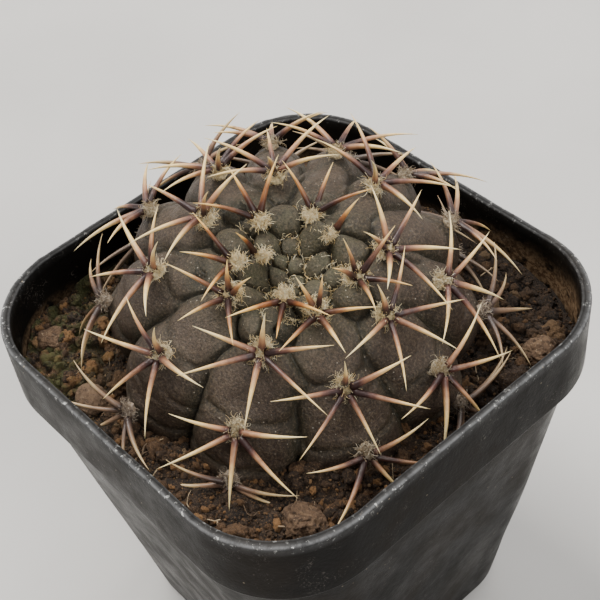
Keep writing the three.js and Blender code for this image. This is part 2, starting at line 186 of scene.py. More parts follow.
def ring_shell(rings, around, ends, inside_out=False):
    """Vertices and faces of stacked rings of points, closed at each end to that end's middle point."""
    count = len(rings)
    caps = np.vstack([
        fan_faces(count, np.arange(around), flip=True),
        fan_faces(count + 1, np.arange(count - around, count)),
    ])
    face_sets = [grid_faces(count // around, around), caps]
    if inside_out:
        face_sets = [faces[:, ::-1] for faces in face_sets]
    return np.vstack([rings, ends]), face_sets


def finish_piece(piece, slot, material, *nodes):
    """Gives a piece its material and its body, and hides the CAD nodes it stands for. The slot is not
    used.
    """
    piece.data.materials.append(material)
    if nodes:
        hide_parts(*nodes)
    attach(piece, "root")
    return piece


# ---- Scatter and noise ----

def sway(a, b):
    """A repeatable scattered number from -1 to 1, the same as the CAD model's."""
    value = math.sin(a * 12.9898 + b * 78.233) * 43758.5453
    return 2 * (value - math.floor(value)) - 1


def lattice(cells, seed):
    """A scattered number from -1 to 1 for each whole-number cell."""
    x, y, z = (cells[..., i].astype(np.int64) for i in range(3))
    mixed = (x * 374761393 + y * 668265263 + z * 1440662683 + seed * 974634777) & 0xFFFFFFFF
    mixed = ((mixed ^ (mixed >> 13)) * 1274126177) & 0xFFFFFFFF
    return ((mixed ^ (mixed >> 16)) & 0xFFFF) / 32767.5 - 1


def noise(points, size, seed=0):
    """Smooth noise from -1 to 1 with lumps of about the given size."""
    places = np.asarray(points) / size
    base = np.floor(places)
    part = places - base
    blend = part * part * (3 - 2 * part)
    total = 0
    for corner in np.ndindex(2, 2, 2):
        weight = np.prod(np.where(corner, blend, 1 - blend), axis=-1)
        total = total + weight * lattice(base + corner, seed)
    return total


def fractal(points, size, octaves=3, seed=0):
    """Noise of several sizes, each half the size and half the height of the one before."""
    return sum(noise(points, size / 2**i, seed + i) / 2**i for i in range(octaves))


def smooth_step(low, high, value):
    share = np.clip((value - low) / (high - low), 0, 1)
    return share * share * (3 - 2 * share)


def unit(vectors):
    return vectors / np.maximum(np.linalg.norm(vectors, axis=-1, keepdims=True), 1e-12)


# ---- Stem surface, in the stem's own frame ----

STEM_CENTRE = np.array([0, 0, POT_HEIGHT - STEM_CENTRE_BELOW_RIM])
LEAN_AXIS = Vector((-math.sin(LEAN_BEARING), math.cos(LEAN_BEARING), 0))
LEANING = np.array(Matrix.Rotation(LEAN_ANGLE, 3, LEAN_AXIS))


def to_frame(points):
    """Points from the stem's own frame to the CAD frame."""
    return points @ LEANING.T + STEM_CENTRE


def ball_point(bearing, drop):
    """A point on the smooth ball under the ribs. Angles are in degrees."""
    bearing, drop = np.asarray(bearing) * DEGREES, np.asarray(drop) * DEGREES
    out = STEM_RADIUS * np.sin(drop)
    return np.stack([out * np.cos(bearing), out * np.sin(bearing), STEM_HALF_HEIGHT * np.cos(drop)], -1)


def ball_normal(points):
    return unit(points / np.array([STEM_RADIUS, STEM_RADIUS, STEM_HALF_HEIGHT]) ** 2)


RIB_BEARINGS = np.array([rib[0] for rib in RIBS], float)


def rib_place(bearing):
    """The index of the rib before each bearing, and the share of the way to the next."""
    turn = (np.asarray(bearing) - RIB_BEARINGS[0]) % 360 + RIB_BEARINGS[0]
    index = np.searchsorted(RIB_BEARINGS, turn, side="right") - 1
    after = np.append(RIB_BEARINGS[1:], RIB_BEARINGS[0] + 360)
    share = (turn - RIB_BEARINGS[index]) / (after[index] - RIB_BEARINGS[index])
    return index, share


def list_areoles():
    """Every areole: its CAD node, rib, bearing and drop."""
    listed = []
    for index, (bearing, twist, drops) in enumerate(RIBS):
        for order, drop in enumerate(drops):
            turned = bearing + twist * math.exp(-(drop - drops[0]) / TWIST_FADE)
            node = f"areole_rib{index + 1:02d}_{order + 1}"
            listed.append({"node": node, "rib": index, "bearing": turned, "drop": drop})
    bearing, drop = CENTRE_AREOLE
    listed.append({"node": "areole_centre", "rib": len(RIBS), "bearing": bearing, "drop": drop})
    return listed


AREOLES = list_areoles()
AREOLE_POINTS = ball_point([a["bearing"] for a in AREOLES], [a["drop"] for a in AREOLES])


def cad_swelling(bearing, drop):
    """How far the CAD stem stands off the smooth ball."""
    points = ball_point(bearing, drop)
    girth = np.sin(np.asarray(drop) * DEGREES)
    crest = np.abs(np.cos(math.pi * rib_place(bearing)[1]))
    height = RIB_DEPTH * (crest - 1) * girth
    apart = np.linalg.norm(points[..., None, :] - AREOLE_POINTS, axis=-1)
    height = height + (TUBERCLE_HEIGHT * np.exp(-((apart / TUBERCLE_SPREAD) ** 2))).sum(-1)
    sink = CROWN_SINK * np.exp(-((STEM_RADIUS * girth / CROWN_SINK_RADIUS) ** 2))
    return height - np.where(np.asarray(drop) < 90, sink, 0)


def local_axes(bearing, drop):
    """Outwards, across and down a rib at a place on the ball."""
    out = ball_normal(ball_point(bearing, drop))
    angle = bearing * DEGREES
    across = np.array([-math.sin(angle), math.cos(angle), 0.0])
    return out, across, np.cross(across, out)


for areole in AREOLES:
    areole["out"], areole["across"], areole["down"] = local_axes(areole["bearing"], areole["drop"])
    on_ball = ball_point(areole["bearing"], areole["drop"])
    areole["top"] = on_ball + areole["out"] * cad_swelling(areole["bearing"], areole["drop"])
AREOLE_TOPS = np.array([areole["top"] for areole in AREOLES])


# ---- Spines, placed as in the CAD model ----

def spine_path(areole, turn, lift, length, steps):
    """A spine's centre line: it leaves at a lift off the stem and bends back as it goes."""
    along = areole["down"] * math.cos(turn * DEGREES) + areole["across"] * math.sin(turn * DEGREES)
    root = areole["top"] + areole["out"] * (GAP + WOOL_HEIGHT / 2) + along * SPINE_ROOT_SPREAD
    angles = (lift - SPINE_CURL * (np.arange(steps) + 0.5) / steps) * DEGREES
    moves = np.cos(angles)[:, None] * along + np.sin(angles)[:, None] * areole["out"]
    return np.vstack([root, root + np.cumsum(moves * length / steps, axis=0)])


def height_above_stem(point):
    scaled = point / np.array([STEM_RADIUS, STEM_RADIUS, STEM_HALF_HEIGHT])
    drop = math.acos(scaled[2] / np.linalg.norm(scaled)) / DEGREES
    bearing = math.atan2(point[1], point[0]) / DEGREES
    base = ball_point(bearing, drop)
    return (point - base) @ ball_normal(base) - float(cad_swelling(bearing, drop))


MIX_TOP = POT_HEIGHT - MIX_BELOW_RIM
MIX_RELIEF = 0.9
STONES = {
    "stone_left": (-1, 20.8, -1, 5.2, 2.6),
    "clod_front": (1, 8.3, -1, 12.3, 2.9),
    "clod_left_corner": (-1, 6.6, -1, 7.6, 2.4),
    "clod_right_corner": (1, 5.6, 1, 11.4, 2.6),
    "clod_back_corner": (-1, 8.2, 1, 6.6, 2.5),
}
STONE_SUNK = 0.45
STONE_FLATNESS = 0.75
STONE_LUMPS = 0.12


def stone_centre(stone):
    side_x, from_x, side_y, from_y, size = stone
    inside = RIM_WIDTH / 2 - POT_WALL
    rest = size * STONE_FLATNESS * (1 - 2 * STONE_SUNK)
    return np.array([side_x * (inside - from_x), side_y * (inside - from_y), MIX_TOP + rest])


def mix_surface(x, y):
    """The CAD mix's lumpy top."""
    lump = np.sin(x * 0.9 + 1) * np.cos(y * 0.8) + np.sin(x * 0.35 - y * 0.5)
    return MIX_TOP + MIX_RELIEF * lump / 2


def space_in_pot(point):
    """Space from a point to the mix, the stones and the pot's wall."""
    x, y, z = placed = to_frame(point)
    half = RIM_WIDTH / 2 - POT_WALL
    radius = RIM_CORNER_RADIUS - POT_WALL
    out_x, out_y = abs(x) - half + radius, abs(y) - half + radius
    past_corner = math.hypot(max(out_x, 0), max(out_y, 0))
    from_wall = max(radius - past_corner - min(max(out_x, out_y), 0), z - POT_HEIGHT)
    spaces = [from_wall, z - mix_surface(x, y)]
    for stone in STONES.values():
        spaces.append(np.linalg.norm(placed - stone_centre(stone)) - stone[-1] * (1 + STONE_LUMPS))
    return min(spaces)


def nearest_on(starts, ends, points):
    """The nearest points to points on segments, row by row."""
    spans = ends - starts
    share = ((points - starts) * spans).sum(-1) / np.maximum((spans * spans).sum(-1), 1e-12)
    return starts + spans * np.clip(share, 0, 1)[..., None]


def spine_radii(steps):
    return SPINE_ROOT_RADIUS * (1 - np.arange(steps + 1) / steps)


def space_round(path, index, placed):
    """The least space round a spine, as the CAD model works it out."""
    radii = spine_radii(CAD_STEPS)
    space = math.inf
    others = np.arange(len(AREOLES)) != index
    far_roots = 3 * max(length for _, _, length in GROWN_FAN)
    near = [p for p, i in placed if i != index and np.linalg.norm(p[0] - path[0]) <= far_roots]
    for i in range(CAD_STEPS):
        start, end = path[i], path[i + 1]
        if i > 0:
            space = min(space, height_above_stem(start) - radii[i])
        space = min(space, height_above_stem(end) - radii[i + 1], space_in_pot(end) - radii[i + 1])
        wool = np.linalg.norm(nearest_on(start, end, AREOLE_TOPS[others]) - AREOLE_TOPS[others], axis=-1)
        space = min(space, wool.min() - WOOL_LENGTH - radii[i])
        if near and space >= SPINE_GAP:
            space = min(space, space_to_spines(start, end, np.array(near), radii[i]))
    return space


def space_to_spines(start, end, spines, radius):
    """The least space from one segment to whole spines."""
    starts, ends = spines[:, :-1], spines[:, 1:]
    on_first = np.broadcast_to((start + end) / 2, starts.shape)
    for _ in range(12):
        on_second = nearest_on(starts, ends, on_first)
        on_first = nearest_on(start, end, on_second)
    apart = np.linalg.norm(on_first - on_second, axis=-1) - spine_radii(CAD_STEPS)[:-1]
    return apart.min() - radius


LIFT_TRIES = [0, 7, -7, 14, -12, 21, 28]
TURN_TRIES = [0, 8, -8, 16, -16, 24, -24]
LENGTH_TRIES = [1, 0.85, 0.7]
TRIES = [(share, turn, lift) for share in LENGTH_TRIES for turn in TURN_TRIES for lift in LIFT_TRIES]


def place_spine(index, wanted, placed):
    """The first try that leaves the spine clear of everything, else the one with most space."""
    turn, lift, length = wanted
    best, best_space = None, -math.inf
    for share, turn_aside, lift_aside in TRIES:
        chosen = (turn + turn_aside, lift + lift_aside, length * share)
        path = spine_path(AREOLES[index], *chosen, CAD_STEPS)
        space = space_round(path, index, placed)
        if space > best_space:
            best, best_space = (chosen, path), space
        if space >= SPINE_GAP:
            break
    placed.append((best[1], index))
    return best[0]


def fan_of(areole):
    """The spines that an areole has at its age."""
    if areole["node"] in BUDS:
        return [FIRST_SPINE]
    if areole["drop"] < BUDDING_ANGLE:
        return YOUNG_FAN[:BUDDING_COUNT]
    if areole["drop"] < YOUNG_ANGLE:
        return YOUNG_FAN
    return GROWN_FAN + [UPRIGHT_SPINE] if areole["drop"] < HALF_GROWN_ANGLE else GROWN_FAN


def wanted_spines(index):
    """Where the spines of an areole are meant to go: turn, lift and length."""
    seed, count = index + 1, len(GROWN_FAN)
    return [
        (
            turn + TURN_SPREAD * sway(seed, i),
            lift + LIFT_SPREAD * sway(seed, i + count),
            length * (1 + LENGTH_SPREAD * sway(seed, i + 2 * count)),
        )
        for i, (turn, lift, length) in enumerate(fan_of(AREOLES[index]))
    ]


def place_all_spines():
    """Turn, lift and length of every spine, by areole, the youngest areoles first."""
    placed, chosen = [], {}
    for index in sorted(range(len(AREOLES)), key=lambda i: AREOLES[i]["drop"]):
        chosen[index] = [place_spine(index, wanted, placed) for wanted in wanted_spines(index)]
    return chosen


# ---- Stem mesh ----

# Tubercles carry their rib's number, and the crown's eggs count on from this one.
FIRST_EGG = 100


def list_cells():
    """The tubercles: centre, axes, half sizes along and across, height and rib of each."""
    cells = []

    def add(bearing, drop, along, wide, height, rib):
        out, across, down = local_axes(bearing, drop)
        point = ball_point(bearing, drop)
        cells.append((point, down / along, across / wide, out / max(along, wide), height, rib))

    for index, (bearing, twist, drops) in enumerate(RIBS):
        before = RIB_BEARINGS[index - 1] - (360 if index == 0 else 0)
        after = RIB_BEARINGS[(index + 1) % len(RIBS)] + (360 if index == len(RIBS) - 1 else 0)
        for order, drop in enumerate(drops):
            gap = drops[order + 1] - drop if order + 1 < len(drops) else 30
            middle = drop + 0.42 * gap
            turned = bearing + twist * math.exp(-(middle - drops[0]) / TWIST_FADE)
            girth = STEM_RADIUS * math.sin(middle * DEGREES)
            wide = max(girth * (after - before) / 4 * DEGREES, 3.0)
            along = 0.5 * gap * DEGREES * STEM_RADIUS * 0.92
            add(turned, middle, along, wide, 0.9, index)
    for order, (bearing, drop, size) in enumerate(CROWN_EGGS):
        add(bearing, drop, size, size * 0.94, 0.85 * size, FIRST_EGG + order)
    return cells


CELLS = list_cells()


def stem_relief(points, drop):
    """The tubercles' relief over the ribs, and the furrows and valleys between them."""
    near = np.full((2, len(points)), np.inf)
    height = np.zeros(len(points))
    ribs = np.full((2, len(points)), -1)
    for centre, down, across, out, tall, rib in CELLS:
        away = points - centre
        share = np.sqrt((away @ down) ** 2 + (away @ across) ** 2 + (away @ out) ** 2)
        first = share < near[0]
        second = ~first & (share < near[1])
        near[1] = np.where(first, near[0], np.where(second, share, near[1]))
        ribs[1] = np.where(first, ribs[0], np.where(second, rib, ribs[1]))
        near[0] = np.where(first, share, near[0])
        ribs[0] = np.where(first, rib, ribs[0])
        height = np.where(first, tall, height)
    egg = ribs[0] >= FIRST_EGG
    dome = height * np.sqrt(np.clip(np.where(egg, 1.04, 1.25) - near[0] ** 2, 0, None))
    same = (ribs[0] == ribs[1]) & (drop > 30)
    between = near[1] - near[0]
    furrow = np.exp(-((between / 0.12) ** 2))
    young = np.where(egg, 1.0, smooth_step(34, 12, drop))
    crown = smooth_step(56, 34, drop)
    weight = np.where(same, 0.22, (0.38 + 0.55 * young) * crown)
    valley = np.exp(-((between / 0.36) ** 2)) * np.where(same, 0.5, crown)
    return dome - weight * furrow, furrow * np.where(same, 0.35, crown), valley


def stem_height(bearing, drop):
    """How far the fine stem surface stands off the smooth ball, and how near each point is to a
    furrow: on its line, and in the valley round it."""
    points = ball_point(bearing, drop)
    girth = np.sin(np.asarray(drop) * DEGREES)
    turn = rib_place(bearing)[1]
    share = np.clip(np.abs(turn * 2 - 1 + 0.05 * noise(points, 6.0, 13)), 0, 1)
    ribbed = smooth_step(30, 54, drop)
    pillow = 1 - (1 - share) ** 3.4
    line = np.exp(-((share * girth / 0.035) ** 2))
    ribs = ribbed * (RIB_DEPTH * 0.95 * (pillow - 1) * girth - 0.45 * line)
    relief, furrow, valley = stem_relief(points, drop)
    furrow = np.maximum(furrow, line * ribbed)
    valley = np.maximum(valley, np.exp(-((share * girth / 0.16) ** 2)) * ribbed)
    sink = CROWN_SINK * np.exp(-((STEM_RADIUS * girth / CROWN_SINK_RADIUS) ** 2))
    height = ribs + relief + chins(points) - np.where(np.asarray(drop) < 90, sink, 0) - 0.35
    height = height + 0.24 * fractal(points, 7.0, 2, 3) + 0.07 * fractal(points, 1.8, 3, 5)
    return height, furrow, valley


def chins(points):
    """The short crease under each areole where its tubercle folds over the next, with a soft dent."""
    height = np.zeros(len(points))
    for areole in AREOLES:
        grown = float(smooth_step(35, 60, areole["drop"]))
        away = points - ball_point(areole["bearing"], areole["drop"])
        along, aside = away @ areole["down"], away @ areole["across"]
        bow = along - 6.6 + 0.10 * aside**2
        crease = np.exp(-((bow / 0.42) ** 2)) * np.exp(-((aside / 3.0) ** 2))
        dent = np.exp(-(((along + 3.6) / 1.7) ** 2 + (aside / 3.2) ** 2))
        swell = np.exp(-(((along - 3.6) / 2.6) ** 2 + (aside / 3.4) ** 2))
        height = height + grown * (0.45 * swell - 0.42 * crease - 0.45 * dent)
    return height


def stem_drops():
    """Where the stem's rows of points go: close together in the crown, further apart out of sight."""
    neck_drop = 180 - math.asin(ROOT_NECK_RADIUS / STEM_RADIUS) / DEGREES
    drops = np.linspace(0, neck_drop, 4000)
    steps = np.linalg.norm(np.diff(ball_point(0, drops), axis=0), axis=1)
    middle = (drops[:-1] + drops[1:]) / 2
    closeness = 1 + 0.9 * smooth_step(36, 22, middle) - 0.6 * smooth_step(100, 125, middle)
    reached = np.concatenate([[0], np.cumsum(steps * closeness)])
    return np.interp(np.linspace(0.3, reached[-1], STEM_ROWS), reached, drops)


def make_stem(material):
    drops = stem_drops()
    bearings = np.arange(STEM_AROUND) * 360 / STEM_AROUND
    drop, bearing = (grid.ravel() for grid in np.meshgrid(drops, bearings, indexing="ij"))
    points = ball_point(bearing, drop)
    height, furrow, valley = stem_height(bearing, drop)
    at_areoles, _, _ = stem_height(
        np.array([a["bearing"] for a in AREOLES], float), np.array([a["drop"] for a in AREOLES], float)
    )
    for areole, own in zip(AREOLES, at_areoles):
        missing = (areole["top"] - ball_point(areole["bearing"], areole["drop"])) @ areole["out"] - own
        apart = np.linalg.norm(points - ball_point(areole["bearing"], areole["drop"]), axis=-1)
        height = height + missing * np.exp(-((apart / 2.2) ** 2))
    points = points + ball_normal(points) * height[:, None]
    bottom = [0, 0, -STEM_HALF_HEIGHT - ROOT_NECK_LENGTH]
    middles = [points[:STEM_AROUND].mean(0), bottom]
    vertices, face_sets = ring_shell(points, STEM_AROUND, middles, inside_out=True)
    ends = np.zeros(2)
    # The furrow and valley values also mask the painted shade in the stem material.
    piece = mesh_object("cactus_stem_skin", to_frame(vertices), face_sets, attributes={
        "furrow": np.concatenate([furrow, ends]),
        "valley": np.concatenate([valley, ends]),
        "crown": np.concatenate([smooth_step(42, 8, drop), [1, 0]]),
        "age": np.concatenate([smooth_step(45, 105, drop), [0, 1]]),
    })
    return finish_piece(piece, "stem", material, "cactus_stem")


# ---- Tubes: spines, hairs and fibres ----

def sweep(paths, radii, sides):
    """Closed round tubes along many paths at once: vertices, quads and end triangles."""
    paths, radii = np.asarray(paths, float), np.asarray(radii, float)
    count, steps = paths.shape[:2]
    ahead = unit(np.gradient(paths, axis=1))
    spare = np.where(np.abs(ahead[:, 0, 2:]) < 0.8, [[0.0, 0, 1]], [[1.0, 0, 0]])
    side = unit(np.cross(ahead[:, 0], spare))
    angles = np.arange(sides) * 2 * math.pi / sides
    rings = np.empty((count, steps, sides, 3))
    for i in range(steps):
        side = unit(side - ahead[:, i] * (side * ahead[:, i]).sum(-1, keepdims=True))
        other = np.cross(ahead[:, i], side)
        ring = side[:, None] * np.cos(angles)[:, None] + other[:, None] * np.sin(angles)[:, None]
        rings[:, i] = paths[:, i, None] + ring * radii[:, i, None, None]
    per_tube = steps * sides + 2
    vertices = np.concatenate([rings.reshape(count, -1, 3), paths[:, [0, -1]]], axis=1)
    starts = (np.arange(count) * per_tube)[:, None, None]
    quads = (grid_faces(steps, sides)[None] + starts).reshape(-1, 4)
    first, last = np.arange(sides), np.arange(sides) + (steps - 1) * sides
    caps = np.vstack([fan_faces(steps * sides, first, flip=True), fan_faces(steps * sides + 1, last)])
    return vertices.reshape(-1, 3), quads, (caps[None] + starts).reshape(-1, 3)


def per_vertex(values, sides):
    """Repeats values given along each tube for every vertex of sweep()'s tubes."""
    values = np.asarray(values, float)
    rings = np.repeat(values, sides, axis=1)
    return np.concatenate([rings, values[:, [0, -1]]], axis=1).ravel()


SPINE_STEPS = 14
SPINE_SIDES = 8
RIB_NAMES = [f"rib{i + 1:02d}" for i in range(len(RIBS))] + ["centre"]


def nodes_of(rib):
    return [areole["node"] for areole in AREOLES if areole["rib"] == rib]


def make_spines(chosen, material):
    """One piece for the spines of each rib."""
    t = np.linspace(0, 1, SPINE_STEPS + 1)
    for rib, name in enumerate(RIB_NAMES):
        paths, radii, tones, ages = [], [], [], []
        for index, areole in enumerate(AREOLES):
            if areole["rib"] != rib:
                continue
            for turn, lift, length in chosen[index]:
                path = spine_path(areole, turn, lift, length, SPINE_STEPS)
                paths.append(to_frame(path))
                thick = SPINE_ROOT_RADIUS * (1 + 0.12 * sway(index, len(paths)))
                taper = np.maximum((1 - t) ** 0.82, 0.03)
                radii.append(thick * taper * (1 + 0.18 * np.exp(-(t * 14) ** 2)))
                tones.append(np.full(len(t), 0.5 + 0.5 * sway(index + 40, len(paths))))
                ages.append(np.full(len(t), areole["drop"] / 100))
        vertices, quads, caps = sweep(paths, radii, SPINE_SIDES)
        values = (np.tile(t, (len(paths), 1)), tones, ages)
        spread = [per_vertex(value, SPINE_SIDES) for value in values]
        piece = mesh_object("spines_" + name, vertices, [quads, caps],
                            attributes=dict(zip(("along", "tone", "age"), spread)))
        finish_piece(piece, "spines", material, *nodes_of(rib))


# ---- Wool ----

HAIR_STEPS = 7
HAIR_SIDES = 3
WOOL_RAISED = 0.4
WOOL_AGE_FADE = 40.0


def curly_paths(roots, headings, lengths, curl, steps=HAIR_STEPS):
    """Hairs that wander as they grow, each turning about its own axis."""
    count = len(roots)
    axis = unit(rng.normal(size=(count, 3)))
    rate = rng.uniform(0.5, 1.5, count) * curl / steps
    heading = unit(headings)
    points = [roots]
    for _ in range(steps - 1):
        turn = rate[:, None] * (1 + 0.6 * rng.normal(size=(count, 1)))
        heading = unit(heading + np.cross(axis, heading) * turn)
        points.append(points[-1] + heading * (lengths / (steps - 1))[:, None])
    return np.stack(points, axis=1)


def ico_ball(subdivisions):
    """A round ball of triangles: unit vertices and faces."""
    work = bmesh.new()
    bmesh.ops.create_icosphere(work, subdivisions=subdivisions, radius=1)
    vertices = np.array([v.co[:] for v in work.verts])
    faces = np.array([[v.index for v in f.verts] for f in work.faces])
    work.free()
    return vertices, faces


def youth(areole):
    """1 in the middle of the crown, falling towards 0 down the stem."""
    return math.exp(-areole["drop"] / WOOL_AGE_FADE)


def wool_size(areole):
    """How big an areole's wool is beside the CAD cushion: less on old areoles and the youngest."""
    size = 0.62 + 0.38 * youth(areole)
    if areole["node"] in BUDS:
        return size * BUD_WOOL_SHARE
    return size * BUDDING_WOOL_SHARE if areole["drop"] < BUDDING_ANGLE else size


def wool_hairs(areole, count):
    """Roots and headings of an areole's curly hairs, in the stem's frame."""
    angle = rng.uniform(0, 2 * math.pi, count)
    reach = np.sqrt(rng.uniform(0, 1, count))
    size = wool_size(areole)
    u = reach * np.cos(angle) * WOOL_WIDTH * 0.9 * size
    v = reach * np.sin(angle) * WOOL_LENGTH * 0.85 * size
    lift = WOOL_HEIGHT * np.sqrt(np.clip(1 - reach**2, 0, 1)) * 0.72 * size
    root = areole["top"] + u[:, None] * areole["across"] + (v - WOOL_RAISED)[:, None] * areole["down"]
    root = root + (lift + 0.1)[:, None] * areole["out"]
    aim = u[:, None] * areole["across"] + v[:, None] * areole["down"] + 1.1 * areole["out"]
    return root, unit(aim) + 0.7 * rng.normal(size=(count, 3))


def make_wool(material):
    """One piece for the wool of each rib: a felted cushion and curly hairs on every areole."""
    ball, ball_faces = ico_ball(4)
    for rib, name in enumerate(RIB_NAMES):
        vertex_sets, quad_sets, tri_sets, tones, ages = [], [], [], [], []
        offset = 0
        for areole in [a for a in AREOLES if a["rib"] == rib]:
            size = wool_size(areole)
            lumps = 1 + 0.16 * fractal(ball * 2 + 7 * areole["top"], 0.7, 3, 11)
            felt = ball * lumps[:, None] * np.array([WOOL_WIDTH, WOOL_LENGTH, WOOL_HEIGHT]) * 0.78 * size
            axes = np.array([areole["across"], areole["down"], areole["out"]])
            cushion = to_frame(areole["top"] - WOOL_RAISED * areole["down"] + felt @ axes)
            vertex_sets.append(cushion)
            tri_sets.append(ball_faces + offset)
            offset += len(cushion)
            tones.append(np.full(len(cushion), 0.55))
            count = int(260 + 200 * youth(areole))
            root, heading = wool_hairs(areole, count)
            length = rng.uniform(0.5, 1.7, count) * (0.65 + 0.6 * size)
            paths = to_frame(curly_paths(root, heading, length, 3.2))
            radii = np.linspace(0.042, 0.022, HAIR_STEPS) * rng.uniform(0.7, 1.3, (count, 1))
            vertices, quads, caps = sweep(paths, radii, HAIR_SIDES)
            vertex_sets.append(vertices)
            quad_sets.append(quads + offset)
            tri_sets.append(caps + offset)
            offset += len(vertices)
            tone = np.repeat(rng.uniform(0, 1, (count, 1)), HAIR_STEPS, axis=1)
            tones.append(per_vertex(tone, HAIR_SIDES))
            ages.append(np.full(len(cushion) + len(vertices), areole["drop"] / 100))
        face_sets = [np.vstack(quad_sets), np.vstack(tri_sets)]
        piece = mesh_object("wool_" + name, np.vstack(vertex_sets), face_sets, attributes={
            "tone": np.concatenate(tones),
            "age": np.concatenate(ages),
        })
        finish_piece(piece, "wool", material, *nodes_of(rib))


def make_crown_wisps(material):
    """Loose hairs in the furrows between the crown's young tubercles."""
    count = 1250
    drop = 20 * np.sqrt(rng.uniform(0, 1, count * 6))
    bearing = rng.uniform(0, 360, count * 6)
    height, furrow, _ = stem_height(bearing, drop)
    keep = np.flatnonzero(furrow > 0.35)[:count]
    drop, bearing, height = drop[keep], bearing[keep], height[keep]
    base = ball_point(bearing, drop)
    out = ball_normal(base)
    root = base + out * (height + 0.45)[:, None]
    heading = out * 1.2 + 0.8 * rng.normal(size=(len(keep), 3))
    length = rng.uniform(0.8, 2.0, len(keep))
    paths = to_frame(curly_paths(root, heading, length, 4.0))
    radii = np.linspace(0.043, 0.024, HAIR_STEPS) * rng.uniform(0.7, 1.3, (len(keep), 1))
    vertices, quads, caps = sweep(paths, radii, HAIR_SIDES)
    tone = np.repeat(rng.uniform(0, 1, (len(keep), 1)), HAIR_STEPS, axis=1)
    piece = mesh_object("wool_crown_wisps", vertices, [quads, caps], attributes={
        "tone": per_vertex(tone, HAIR_SIDES),
        "age": np.full(len(vertices), 0.1),
    })
    finish_piece(piece, "wool", material)


# ---- Pot ----

BAND_BOTTOM = POT_HEIGHT - BAND_DEPTH
FLOOR_TOP = FOOT_HEIGHT + FLOOR_THICKNESS
POT_AROUND = 288
CORNER_SHARE = 0.75


def corner_radius(half):
    share = (half - BASE_WIDTH / 2) / (RIM_WIDTH / 2 - BASE_WIDTH / 2)
    radius = BASE_CORNER_RADIUS + share * (RIM_CORNER_RADIUS - BASE_CORNER_RADIUS)
    return np.minimum(np.maximum(radius, 0), half)


def square_ring(half, around):
    """Points round a rounded square, most of them on its corners."""
    turn = np.arange(around) / around
    quadrant = np.floor(turn * 4 + 1e-9)
    along = turn * 4 - quadrant
    radius = corner_radius(half)
    straight = half - radius
    side = (1 - CORNER_SHARE) / 2
    angle = np.clip((along - side) / CORNER_SHARE, 0, 1) * math.pi / 2
    x = straight + radius * np.cos(angle)
    y = straight + radius * np.sin(angle)
    y = np.where(along < side, straight * along / side, y)
    x = np.where(along > 1 - side, straight * (1 - along) / side, x)
    spin = quadrant * math.pi / 2
    return np.stack([x * np.cos(spin) - y * np.sin(spin), x * np.sin(spin) + y * np.cos(spin)], -1)


def body_half(height):
    top = RIM_WIDTH - 2 * BAND_STAND_OUT
    return (BASE_WIDTH + (top - BASE_WIDTH) * height / BAND_BOTTOM) / 2


def rounded(profile, radius, steps=4):
    """A profile of [half width, height] points with each inner corner rounded off."""
    points = [np.array(profile[0], float)]
    for before, here, after in zip(profile, profile[1:], profile[2:]):
        before, here, after = (np.array(p, float) for p in (before, here, after))
        reach = [min(radius, 0.45 * np.linalg.norm(p - here)) for p in (before, after)]
        start = here + unit(before - here) * reach[0]
        end = here + unit(after - here) * reach[1]
        for t in np.linspace(0, 1, steps + 1):
            points.append((1 - t) ** 2 * start + 2 * t * (1 - t) * here + t**2 * end)
    points.append(np.array(profile[-1], float))
    return points


def filled_in(points, longest):
    """A profile with extra points, so that no step is longer than given."""
    out = [points[0]]
    for start, end in zip(points, points[1:]):
        steps = max(1, math.ceil(np.linalg.norm(end - start) / longest))
        out += [start + (end - start) * (i + 1) / steps for i in range(steps)]
    return np.array(out)


def square_surface(profile, around):
    """Rings of rounded squares up a profile, from its first point to its last."""
    return np.vstack([
        np.column_stack([square_ring(half, around), np.full(around, height)]) for half, height in profile
    ])


def pot_profile():
    rim = RIM_WIDTH / 2
    foot_inner = BASE_WIDTH / 2 - FOOT_RING_WIDTH
    corners = [
        [2.0, FOOT_HEIGHT],
        [foot_inner, FOOT_HEIGHT],
        [foot_inner, 0],
        [BASE_WIDTH / 2, 0],
        [body_half(BAND_BOTTOM), BAND_BOTTOM],
        [rim, BAND_BOTTOM + BAND_STEP],
        [rim, POT_HEIGHT],
        [rim - POT_WALL, POT_HEIGHT],
        [rim - POT_WALL, BAND_BOTTOM + BAND_STEP],
        [body_half(BAND_BOTTOM) - POT_WALL, BAND_BOTTOM],
        [body_half(FLOOR_TOP) - POT_WALL, FLOOR_TOP],
        [2.0, FLOOR_TOP],
    ]
    return filled_in(rounded(corners, 0.4), 1.6)


def edge_wear(profile):
    """How much each ring of the pot is rubbed: most on the rim's outer edge."""
    rim = RIM_WIDTH / 2
    from_outer = np.hypot(profile[:, 0] - rim, profile[:, 1] - POT_HEIGHT)
    from_inner = np.hypot(profile[:, 0] - rim + POT_WALL, profile[:, 1] - POT_HEIGHT)
    return np.exp(-((from_outer / 0.36) ** 2)) + 0.35 * np.exp(-((from_inner / 0.30) ** 2))


def soiled_wall(vertices, profile):
    """How much dried mix clings to each point: inside, just above the mix, most in one corner."""
    inside = np.repeat(np.arange(len(profile)) > np.argmax(profile[:, 1]) + 2, POT_AROUND)
    corner = smooth_step(30, 50, vertices[:, 0] + vertices[:, 1])
    above = vertices[:, 2] - MIX_TOP - 1.5 * noise(vertices, 7, 71)
    return inside * smooth_step(2.0 + 4.6 * corner, 0.6 + 1.4 * corner, above) * (0.55 + 0.45 * corner)


